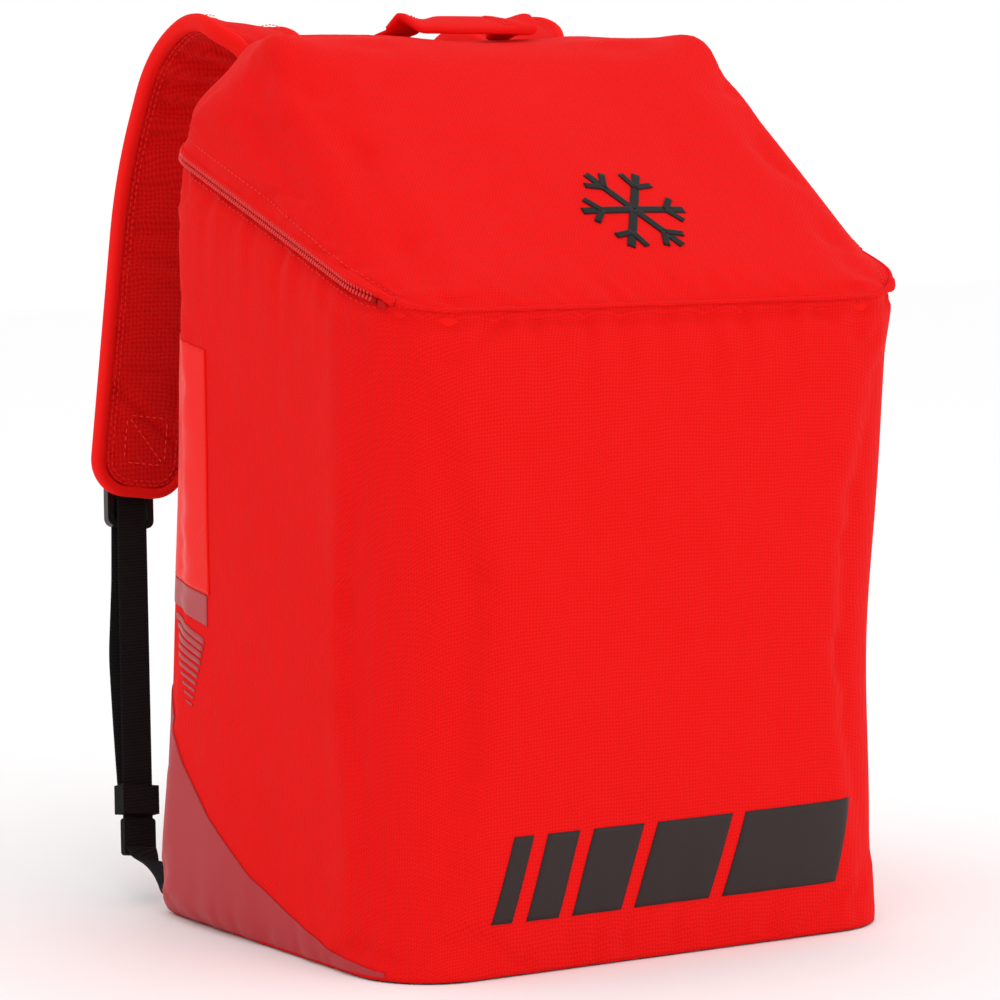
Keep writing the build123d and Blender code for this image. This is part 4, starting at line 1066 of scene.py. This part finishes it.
wall_top = walls[-1] - wall_normals[-1] * 0.0006
left_top, right_top = wall_top[: wall_columns // 2], wall_top[wall_columns // 2:]
for side_name, half_top in (("left", left_top), ("right", right_top)):
    part_top = half_top[half_top[:, 1] > ZIP_END_Y - 0.004]
    path = resample(part_top, 0.003)[0]
    dress(tube(f"bag_rolled_edge_{side_name}", path, 0.0009, 8), "main_cloth", "bag", "main_cloth")


def at_distance(grid, normals, distance, from_row, columns):
    """A line across a grid at a distance along its columns from one edge row."""
    run = lengths(grid, 0)
    if from_row < 0:
        run = run[-1][None] - run
    spots, outs = [], []
    for c in columns:
        order = np.argsort(run[:, c])
        row = np.interp(distance, run[order, c], order.astype(float))
        spots.append(sample(grid, np.array([row]), np.array([float(c)]))[0])
        outs.append(sample(normals, np.array([row]), np.array([float(c)]))[0])
    return np.array(spots), unit(np.array(outs))


def lifted(line, lift=0.00025):
    return line[0] + line[1] * lift, line[1]


side_lines = []
for turned in (False, True):
    grid = np.swapaxes(lid_points, 0, 1)
    grid_n = np.swapaxes(lid_normals, 0, 1)
    if turned:
        grid, grid_n = grid[::-1], grid_n[::-1]
    side_lines.append(lifted(at_distance(grid, grid_n, 0.0085, 0, range(2, grid.shape[1] - 3))))
top_line = lifted(at_distance(lid_points, lid_normals, 0.0085, -1, range(2, lid_points.shape[1] - 2)))
stitches("lid_stitching", [*side_lines, top_line], body="lid")
zip_columns = [c for c in range(wall_columns) if walls[-1, c, 1] > ZIP_END_Y]
left_columns = [c for c in zip_columns if c < wall_columns // 2]
right_columns = [c for c in zip_columns if c > wall_columns // 2]
bag_lines = [
    lifted(at_distance(walls, wall_normals, 0.0035, -1, columns))
    for columns in (left_columns, right_columns)
]
stitches("bag_stitching", bag_lines, body="bag")

# ---------------------------------------------------------------- emblem on the lid: a plain snowflake
FLAKE_CENTRE, FLAKE_ARM, FLAKE_BAR = (0.014, 0.070), 0.034, 0.005
BARB_AT, BARB_LENGTH = 0.62, 0.012
FLAKE_STEP = 0.00003
SLOPE = math.atan2(RIDGE_HEIGHT - HINGE_HEIGHT, RIDGE_Y - FRONT_Y)
SLOPE_OUT = np.array([0, -math.sin(SLOPE), math.cos(SLOPE)])
SLOPE_UP = np.array([0, math.cos(SLOPE), math.sin(SLOPE)])


def on_slope(x, up):
    return np.array([x, FRONT_Y, HINGE_HEIGHT]) + SLOPE_UP * up + SLOPE_OUT * 0.02


def flake_bar(name, start, end, width, lift):
    """One straight bar of the snowflake, between two places on the slope."""
    start, end = np.array(start), np.array(end)
    along = (end - start) / np.linalg.norm(end - start)
    across = np.array([-along[1], along[0]])
    steps = max(4, int(np.linalg.norm(end - start) / 0.0015))
    flat = np.zeros((6, steps, 3))
    for i, j in np.ndindex(6, steps):
        place = start + (end - start) * j / (steps - 1) + across * width * (i / 5 - 0.5)
        flat[i, j] = on_slope(*(place + np.array(FLAKE_CENTRE)))
    return sheet_object(name, press(flat, -SLOPE_OUT, lid_tree, lift), 0.0005)


for arm in range(6):
    angle = math.radians(60 * arm)
    tip = np.array([math.cos(angle), math.sin(angle)])
    lift = FLAKE_STEP * arm  # arms that cross don't share a surface
    bar = flake_bar(f"emblem_arm_{arm + 1}", tip * 0.0005, tip * FLAKE_ARM, FLAKE_BAR, 0.0005 + lift)
    dress(bar, "emblem", "lid", "dark_print", *(["lid_emblem"] if arm == 0 else []))
    for turn in (-1, 1):
        lean = angle + turn * math.radians(50)
        foot = tip * FLAKE_ARM * BARB_AT
        end = foot + np.array([math.cos(lean), math.sin(lean)]) * BARB_LENGTH
        name = f"emblem_barb_{arm + 1}_{'ab'[turn > 0]}"
        barb = flake_bar(name, foot, end, FLAKE_BAR * 0.8, 0.0007 + lift)
        dress(barb, "emblem", "lid", "dark_print")

# ---------------------------------------------------------------- grab handle
HANDLE_Y, HANDLE_HALF, HANDLE_TOP_HALF = 0.088, 0.047, 0.041
HANDLE_FRONT_Y, HANDLE_BAR_BACK = 0.050, 0.069
GRIP_SPAN, GRIP_TAB_X = (-0.036, 0.036), 0.021


def handle_height(y):
    """The band rises from its pivot, crowns behind the bar and tips down at its front."""
    return np.interp(y, [0.047, 0.050, 0.055, 0.062, 0.067, 0.071, 0.077, 0.088],
                     [0.5022, 0.5040, 0.5078, 0.5118, 0.5124, 0.5090, 0.5038, 0.5008])


def handle_outline(half, top_half, front, count=90):
    path = np.array([(-half, HANDLE_Y, 0), (-top_half, front, 0), (top_half, front, 0), (half, HANDLE_Y, 0)])
    return even(eased(resample(path, 0.001)[0], 26), count)


outer_side = handle_outline(HANDLE_HALF, HANDLE_TOP_HALF, HANDLE_FRONT_Y)
inner_side = handle_outline(HANDLE_HALF - 0.018, HANDLE_TOP_HALF - 0.020, HANDLE_BAR_BACK)
for line in (outer_side, inner_side):
    line[:, 2] = handle_height(line[:, 1])
handle_mid = (outer_side + inner_side) / 2
handle_wide = unit(inner_side - outer_side)
handle_half = np.linalg.norm(inner_side - outer_side, axis=1) / 2
handle_along = unit(np.gradient(handle_mid, axis=0))
handle_thick = unit(np.cross(handle_along, handle_wide))
band = ring_object("handle_band", oval(handle_mid, handle_wide, handle_thick, handle_half, 0.0017, 20, 0.6))
dress(band, "handle_cloth", "handle", "handle_cloth", "grab_handle")
on_grip = (handle_mid[:, 0] > GRIP_SPAN[0]) & (handle_mid[:, 0] < GRIP_SPAN[1])
grip_thick = np.where(handle_mid[on_grip][:, 0] > GRIP_TAB_X, 0.0036, 0.0029)
grip_rings = oval(handle_mid[on_grip], handle_wide[on_grip], handle_thick[on_grip],
                  handle_half[on_grip] + 0.0012, grip_thick, 24, 0.62)
grip = ring_object("handle_grip_sleeve", grip_rings)
dress(grip, "handle_cloth", "handle", "handle_cloth", "handle_grip")
handle_up = handle_thick * np.sign(handle_thick[:, [2]])
grip_rows = []
for x_row in (0.0165, 0.0195, -0.0325):
    i = int(np.argmin(np.abs(handle_mid[:, 0] - x_row)))
    spots = [
        handle_mid[i] + handle_wide[i] * w * handle_half[i] + handle_up[i] * 0.0031
        for w in np.linspace(-0.95, 0.9, 9)
    ]
    grip_rows.append((np.array(spots), np.array([handle_up[i]] * len(spots))))
stitches("handle_stitching", grip_rows, body="handle")

for side_name, side in SIDES:
    x, y, a, b = squircle(14, 10, 0.5)
    flat = np.dstack([side * 0.038 + x * 0.0115, 0.0915 + y * 0.0060, np.full(x.shape, 0.53)])
    seat = press(flat, (0, 0, -1), lid_tree, -0.0015)
    cover = press(flat, (0, 0, -1), lid_tree, 0.0014) + np.array([0, 0, 0.0012]) * dome(a, b)[..., None]
    tab = closed_sheet(f"handle_tab_{side_name}", cover, seat)
    dress(tab, "handle_cloth", "lid", "handle_cloth", f"handle_anchor_{side_name}")

# ---------------------------------------------------------------- shoulder straps
STRAP_X, STRAP_TOP, STRAP_SPLAY = 0.090, 0.508, math.radians(7.4)
STRAP_HALF, NECK_HALF = 0.031, 0.015
STRAP_PATH = [
    (0.107, -0.076), (0.117, -0.046), (0.129, -0.016), (0.172, 0.004), (0.218, -0.022), (0.240, -0.093),
    (0.2314, -0.282),
]
STRAP_BENDS = [0.020, 0.024, 0.050, 0.060, 0.200]
STRAP_CORNER, STRAP_INSET, STRAP_SKIN = 0.022, 0.0048, 0.0034


def bent_path(points, bends, step=0.0022):
    """A route of straight runs with rounded bends, on the plane X = 0, as (y, z)."""
    points = np.array(points, float)
    made = [points[0]]
    for i, bend in enumerate(bends, start=1):
        back, ahead = unit(points[i - 1] - points[i]), unit(points[i + 1] - points[i])
        half = 0.5 * math.acos(float(np.clip(back @ ahead, -1, 1)))
        reach = bend / math.tan(half)
        centre = points[i] + unit(back + ahead) * bend / math.sin(half)
        for share in np.linspace(0, 1, 16):
            guess = (points[i] + back * reach) * (1 - share) + (points[i] + ahead * reach) * share
            made.append(centre + unit(guess - centre) * bend)
    made.append(points[-1])
    full = np.column_stack([np.zeros(len(made)), np.array(made)])
    return resample(full, step)[0]


def set_beside(side, points):
    """From the strap's own upright plane to its place on one side of the bag."""
    turn = -side * STRAP_SPLAY
    x, y, z = np.moveaxis(np.asarray(points, float), -1, 0)
    cos, sin = math.cos(turn), math.sin(turn)
    return np.stack([x * cos + z * sin, y, z * cos - x * sin], -1) + np.array([side * STRAP_X, 0, STRAP_TOP])


strap_line = bent_path(STRAP_PATH, STRAP_BENDS)
strap_run = np.concatenate([[0], np.cumsum(np.linalg.norm(np.diff(strap_line, axis=0), axis=1))])
STRAP_LENGTH = strap_run[-1]
strap_tangent = unit(np.gradient(strap_line, axis=0))
strap_in = np.column_stack([np.zeros(len(strap_line)), strap_tangent[:, 2], -strap_tangent[:, 1]])


def strap_half(run):
    """Half the strap's width: narrow at the neck, full further on, round at its end."""
    y = np.interp(run, strap_run, strap_line[:, 1])
    z = np.interp(run, strap_run, strap_line[:, 2])
    neck = smooth((y - 0.116) / 0.036) * (z > -0.1) + (z <= -0.1)
    half = NECK_HALF + (STRAP_HALF - NECK_HALF) * neck
    past = np.clip(run - (STRAP_LENGTH - STRAP_CORNER), 0, STRAP_CORNER)
    rounded = np.sqrt(np.maximum(STRAP_CORNER**2 - past**2, 0)) * (past > 0)
    return half - STRAP_CORNER + rounded + STRAP_CORNER * (past <= 0)


def strap_place(run, x, inward):
    """Points on the strap: along it, across it, and off its middle towards the wearer."""
    run, x, inward = np.broadcast_arrays(run, x, inward)
    middle = np.stack([np.interp(run, strap_run, strap_line[:, k]) for k in range(3)], -1)
    facing = unit(np.stack([np.interp(run, strap_run, strap_in[:, k]) for k in range(3)], -1))
    return middle + facing * inward[..., None] + np.array([1.0, 0, 0]) * x[..., None]


def strap_grid(inset, inward, rows=120, columns=19):
    run = np.linspace(0, STRAP_LENGTH - inset, rows)[:, None]
    share = np.linspace(-1, 1, columns)[None, :]
    half = strap_half(np.minimum(run + inset * (run > STRAP_LENGTH - STRAP_CORNER), STRAP_LENGTH)) - inset
    return strap_place(run, share * half, inward), run * np.ones_like(share), share * np.ones_like(run)


WRINKLES = (  # place along the strap, lean, depth
    (0.150, 0.10, 0.0022), (0.168, -0.14, 0.0026), (0.186, 0.08, 0.0022), (0.206, -0.06, 0.0018),
    (0.280, 0.12, 0.0014), (0.372, 0.60, 0.0020),
)
FOLD_HALF, CREST_AT, CREST_HALF, CREST_SHARE = 0.0036, 0.008, 0.004, 0.45


def wrinkle(run, share):
    """Soft folds across the lining, where the strap bends and near its end."""
    total = np.zeros_like(run)
    for place, lean, depth in WRINKLES:
        beside = run - place - lean * share * STRAP_HALF
        away = beside / FOLD_HALF
        total -= depth * np.exp(-away * away) * (1 - share**6)
        total += depth * CREST_SHARE * np.exp(-(((np.abs(beside) - CREST_AT) / CREST_HALF) ** 2))
    return total * (1 - share**8)


def strap_outline(inset, closed_end=0.0):
    """The strap's edge as (run, across) from the neck's left side round the end and back."""
    straight = np.linspace(closed_end, STRAP_LENGTH - STRAP_CORNER, 110)
    half = strap_half(straight) - inset
    turn = np.linspace(0, math.pi / 2, 14)[1:]
    bend = STRAP_CORNER - inset
    corner_run = STRAP_LENGTH - STRAP_CORNER + bend * np.sin(turn)
    corner_x = STRAP_HALF - STRAP_CORNER + bend * np.cos(turn)
    flat = np.linspace(corner_x[-1], 0, 8)[1:]
    run = np.concatenate([straight, corner_run, np.full(len(flat), corner_run[-1])])
    across = np.concatenate([half, corner_x, flat])
    return np.concatenate([run, run[-2::-1]]), np.concatenate([-across, across[-2::-1]])


def strap_stitches(side, body, rows, name, thread):
    done = []
    for run, across, inward in rows:
        flat = strap_place(np.asarray(run), np.asarray(across), np.asarray(inward))
        facing = strap_place(np.asarray(run), np.asarray(across), np.asarray(inward) + 0.001) - flat
        away = set_beside(side, flat + facing) - set_beside(side, flat)
        done.append((set_beside(side, flat), unit(away)))
    stitches(name, done, body=body, thread=thread)


def bend_at_root(obj):
    """The strap's cloth keeps the place it was built in: its transform is baked into its mesh."""
    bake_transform(obj)


ROOT_SEAT = 0.0045  # how far the filled-out back stands out
ROOT_PRESS = 0.9  # the share of a sunk point's depth that is undone


def seat_on_back(obj):
    """Flatten the strap's end onto the back, so that none of it shows inside the compartment."""
    spots = np.zeros(len(obj.data.vertices) * 3)
    obj.data.vertices.foreach_get("co", spots)
    spots = spots.reshape(-1, 3)
    sunk = np.maximum(back_y(spots[:, 2]) + ROOT_SEAT - spots[:, 1], 0)
    spots[:, 1] += sunk * ROOT_PRESS
    obj.data.vertices.foreach_set("co", spots.ravel())
    obj.data.update()


def strap(side_name, side):
    body = f"strap_{side_name}"
    lining, run, share = strap_grid(STRAP_INSET, STRAP_SKIN)
    outer = strap_grid(STRAP_INSET, -STRAP_SKIN)[0]
    # the lining faces the bag, so its columns run the other way from the outer cloth's
    hold = seam_hold(*lining.shape[:2])
    face = blow_up(lining[:, ::-1], hold, cap=0.0020, slack=0.015)[:, ::-1]
    shell = blow_up(outer, hold, cap=0.0020, slack=0.015)
    inward = unit(strap_place(run, 0.0, 0.001) - strap_place(run, 0.0, 0.0))
    face = face + wrinkle(run, share)[..., None] * inward
    face, shell, middle = [
        set_beside(side, finer(grid)) for grid in (face, shell, strap_grid(STRAP_INSET, -0.0008)[0])
    ]
    pad = closed_sheet(f"strap_pad_{side_name}", shell, middle)
    cover = closed_sheet(f"strap_lining_cloth_{side_name}", face[:, ::-1], middle[:, ::-1])
    for piece in (pad, cover):
        if piece.data.polygons[0].normal.dot(Vector((0, 1, 0))) * (1 if piece is pad else -1) < 0:
            piece.data.flip_normals()
    edge_run, edge_x = strap_outline(0.0031)
    centre = set_beside(side, strap_place(edge_run, edge_x, 0.0))
    thick = unit(set_beside(side, strap_place(edge_run, edge_x, 0.001)) - centre)
    along = unit(np.gradient(centre, axis=0))
    edge_rings = oval(centre, unit(np.cross(along, thick)), thick, 0.0036, 0.0052, 16, 0.8)
    band = ring_object(f"strap_edge_{side_name}", edge_rings)
    pieces = (
        (pad, "strap_cloth", "strap_cloth", ["strap_shell", "strap_foam"]),
        (cover, "lining", "strap_lining", ["strap_lining"]),
        (band, "binding", "binding", ["strap_binding"]),
    )
    for piece, look, slot, replaced in pieces:
        piece.data.materials.append(MATERIALS[look])
        seat_on_back(piece)
        bend_at_root(piece)
        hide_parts(*[f"{node}_{side_name}" for node in replaced])
    inner_run, inner_x = strap_outline(0.0098, 0.095)
    second_run, second_x = strap_outline(0.0074, 0.095)
    rows = [(inner_run, inner_x, 0.0052), (inner_run, inner_x, -0.0052), (second_run, second_x, 0.0046)]
    strap_stitches(side, body, rows, f"strap_stitching_{side_name}", MATERIALS["thread"])
    low, high, half = STRAP_LENGTH - 0.048, STRAP_LENGTH - 0.020, 0.0135
    steps = np.linspace(0, 1, 12)
    corners = [(low, -half), (high, -half), (high, half), (low, half), (low, -half), (high, half)]
    box = []
    for (r0, x0), (r1, x1) in zip(corners[:-1], corners[1:]):
        box.append((r0 + (r1 - r0) * steps, x0 + (x1 - x0) * steps, 0.0058))
    strap_stitches(side, body, box, f"strap_box_stitch_{side_name}", MATERIALS["thread_light"])
    root_patch(side_name, side)


def root_patch(side_name, side):
    """The strap's end, sewn flat to the back panel."""
    x, z, a, b = squircle(22, 16, 0.3)
    flat = np.dstack([side * 0.094 - x * 0.029, np.full(x.shape, 0.2), 0.439 + z * 0.018])
    seat = press(flat, (0, -1, 0), back_tree, -0.001)
    out = np.array([0, 1, BACK_LEAN])
    cover = seat + out * (0.0030 + 0.0035 * dome(a, b, 6))[..., None]
    patch = closed_sheet(f"strap_root_patch_{side_name}", finer(cover), finer(seat))
    dress(patch, "strap_cloth", "bag", "strap_cloth", f"strap_root_{side_name}")
    rim = rim_of(cover[2:-2, 2:-2] + out * 0.0006)
    stitches(f"strap_root_stitching_{side_name}", [(rim, np.broadcast_to(unit(out), rim.shape))], body="bag")


for side_name, side in SIDES:
    strap(side_name, side)

# ---------------------------------------------------------------- webbing below the straps
LOCK_Y, LOCK_Z = 0.2405, -0.286
LOCK_ANGLE = math.atan2(49.5, 184.0)
STRAND_OUT, STRAND_END, END_LENGTH = 0.0034, -0.190, 0.022
WEBBING_HALF, WEBBING_THICK = 0.010, 0.0016


def by_lock(along, out):
    """A place along the webbing and out from the bag, measured from the ladder lock, as (y, z)."""
    up_y, up_z = math.sin(LOCK_ANGLE), math.cos(LOCK_ANGLE)
    return LOCK_Y + along * up_y + out * up_z, LOCK_Z + along * up_z - out * up_y


def webbing_band(name, side, line, twist=None):
    """Flat webbing along a line on the strap's own plane."""
    tangent = unit(np.gradient(line, axis=0))
    wide = np.broadcast_to(np.array([1.0, 0, 0]), line.shape).copy()
    normal = unit(np.cross(tangent, wide))
    if twist is not None:
        wide, normal = (
            wide * np.cos(twist)[:, None] + normal * np.sin(twist)[:, None],
            normal * np.cos(twist)[:, None] - wide * np.sin(twist)[:, None],
        )
    rings = oval(line, wide, normal, WEBBING_HALF, WEBBING_THICK / 2, 14, 0.5)
    return ring_object(name, set_beside(side, rings))


for side_name, side in SIDES:
    body = f"strap_{side_name}"
    route = [
        by_lock(STRAND_END - 0.006, -STRAND_OUT), by_lock(0.006, -STRAND_OUT),
        by_lock(0.006, STRAND_OUT), by_lock(-0.048, STRAND_OUT + 0.0018),
        by_lock(-0.092, STRAND_OUT + 0.0058), by_lock(-0.128, STRAND_OUT + 0.0020),
        by_lock(-0.186, 0.0024 - STRAND_OUT),
    ]
    line = bent_path(route, [0.0033, 0.0033, 0.12, 0.10, 0.12], 0.0016)
    line[:, 0] += 0.0012 * np.sin(np.linspace(0, 5, len(line))) * smooth(np.linspace(-1, 1.2, len(line)))
    strand = webbing_band(f"webbing_strand_{side_name}", side, line)
    dress(strand, "webbing", body, "webbing", f"adjust_webbing_{side_name}")
    low = np.array([0, *by_lock(STRAND_END - END_LENGTH + 0.004, -STRAND_OUT - 0.0034)])
    foot = np.array([0, 0.1352, (0.0145 - STRAP_TOP) / math.cos(STRAP_SPLAY)])
    share = np.linspace(0, 1, 40)[:, None]
    sag = np.array([0, 0.004, -0.006]) * np.sin(share * math.pi)
    anchor_line = low * (1 - share) + foot * share + sag
    anchor = webbing_band(f"webbing_tail_anchor_{side_name}", side, anchor_line,
                          twist=side * smooth(share[:, 0] * 1.15) * math.radians(86))
    anchor.data.materials.append(MATERIALS["webbing"])
    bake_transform(anchor)
    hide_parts(f"anchor_webbing_{side_name}")
    end_rows = []
    for along in (-0.004, -0.008, -0.018):
        y, z = by_lock(STRAND_END + along, -STRAND_OUT - 0.0026)
        spots = set_beside(side, np.array([[x, y, z] for x in np.linspace(-0.009, 0.009, 8)]))
        end_rows.append((spots, np.broadcast_to(np.array([0, -1.0, 0]), spots.shape)))
    stitches(f"webbing_end_stitching_{side_name}", end_rows, body=body,
             thread=MATERIALS["webbing"])


# ---------------------------------------------------------------- scene: floor, light, camera
def floor():
    size = 6.0
    verts = [(-size, -size, -0.0005), (size, -size, -0.0005), (size, size, -0.0005), (-size, size, -0.0005)]
    obj = make_object("floor", verts, [(0, 1, 2, 3)])
    material, shader = new_material("floor")
    set_inputs(shader, {"Base Color": (0.985, 0.985, 0.985, 1), "Roughness": 0.9})
    obj.data.materials.append(material)


def aimed(name, data, place, forward):
    """A lamp or camera set at a place and turned to look along a direction."""
    obj = bpy.data.objects.new(name, data)
    bpy.context.scene.collection.objects.link(obj)
    obj.location = place
    obj.rotation_mode = "QUATERNION"
    obj.rotation_quaternion = forward.to_track_quat("-Z", "Y")
    return obj


def area_light(name, place, target, size, power):
    data = bpy.data.lights.new(name, "AREA")
    data.size = size
    data.energy = power
    aimed(name, data, place, Vector(target) - Vector(place))


def studio():
    world = bpy.data.worlds.new("studio")
    bpy.context.scene.world = world
    world.use_nodes = True
    set_inputs(world.node_tree.nodes["Background"], {"Color": (1, 1, 1, 1), "Strength": 1.0})
    middle = (0, 0, 0.25)
    area_light("key", (0.5, -2.2, 1.3), middle, 1.5, 7)
    area_light("top", (0.0, -0.2, 2.4), middle, 1.6, 4)
    bpy.context.scene.view_settings.view_transform = "Standard"


CAMERA_PLACE, CAMERA_AIM = (-1.3197, -2.0050, 0.4742), (0.5420, 0.8347, -0.0976)  # fitted to the photo


def camera():
    data = bpy.data.cameras.new("camera")
    data.sensor_width = 36
    data.lens = 153
    data.clip_start, data.clip_end = 0.05, 50
    bpy.context.scene.camera = aimed("camera", data, CAMERA_PLACE, Vector(CAMERA_AIM))


floor()
studio()
camera()

CAD_LOOKS = {
    "stiffener": "board", "foam": "board", "side_print": "print", "zip_tape": "tape", "zip_coil": "coil",
    "coated_cloth": "gusset", "strap_lining": "lining",
}
slot_of = {part["node"]: part["material_slot"] for part in frame["record"]["subparts"]}
BEVELS = {"ladder_lock": 0.0011, "zip_slider": 0.0005, "pull_tab": 0.0004, "webbing_keeper": 0.0005,
          "webbing_end": 0.0008, "lock_loop": 0.0003, "zip_end_tack": 0.0003}
for node_name, node in nodes.items():
    node.data.materials.clear()
    node.data.materials.append(MATERIALS[CAD_LOOKS.get(slot_of[node_name], slot_of[node_name])])
    for kind, width in BEVELS.items():
        if node_name.startswith(kind):
            bevel = node.modifiers.new("Bevel", "BEVEL")
            bevel.width = width
            bevel.segments = 3
            bevel.limit_method = "ANGLE"
            bevel.harden_normals = True
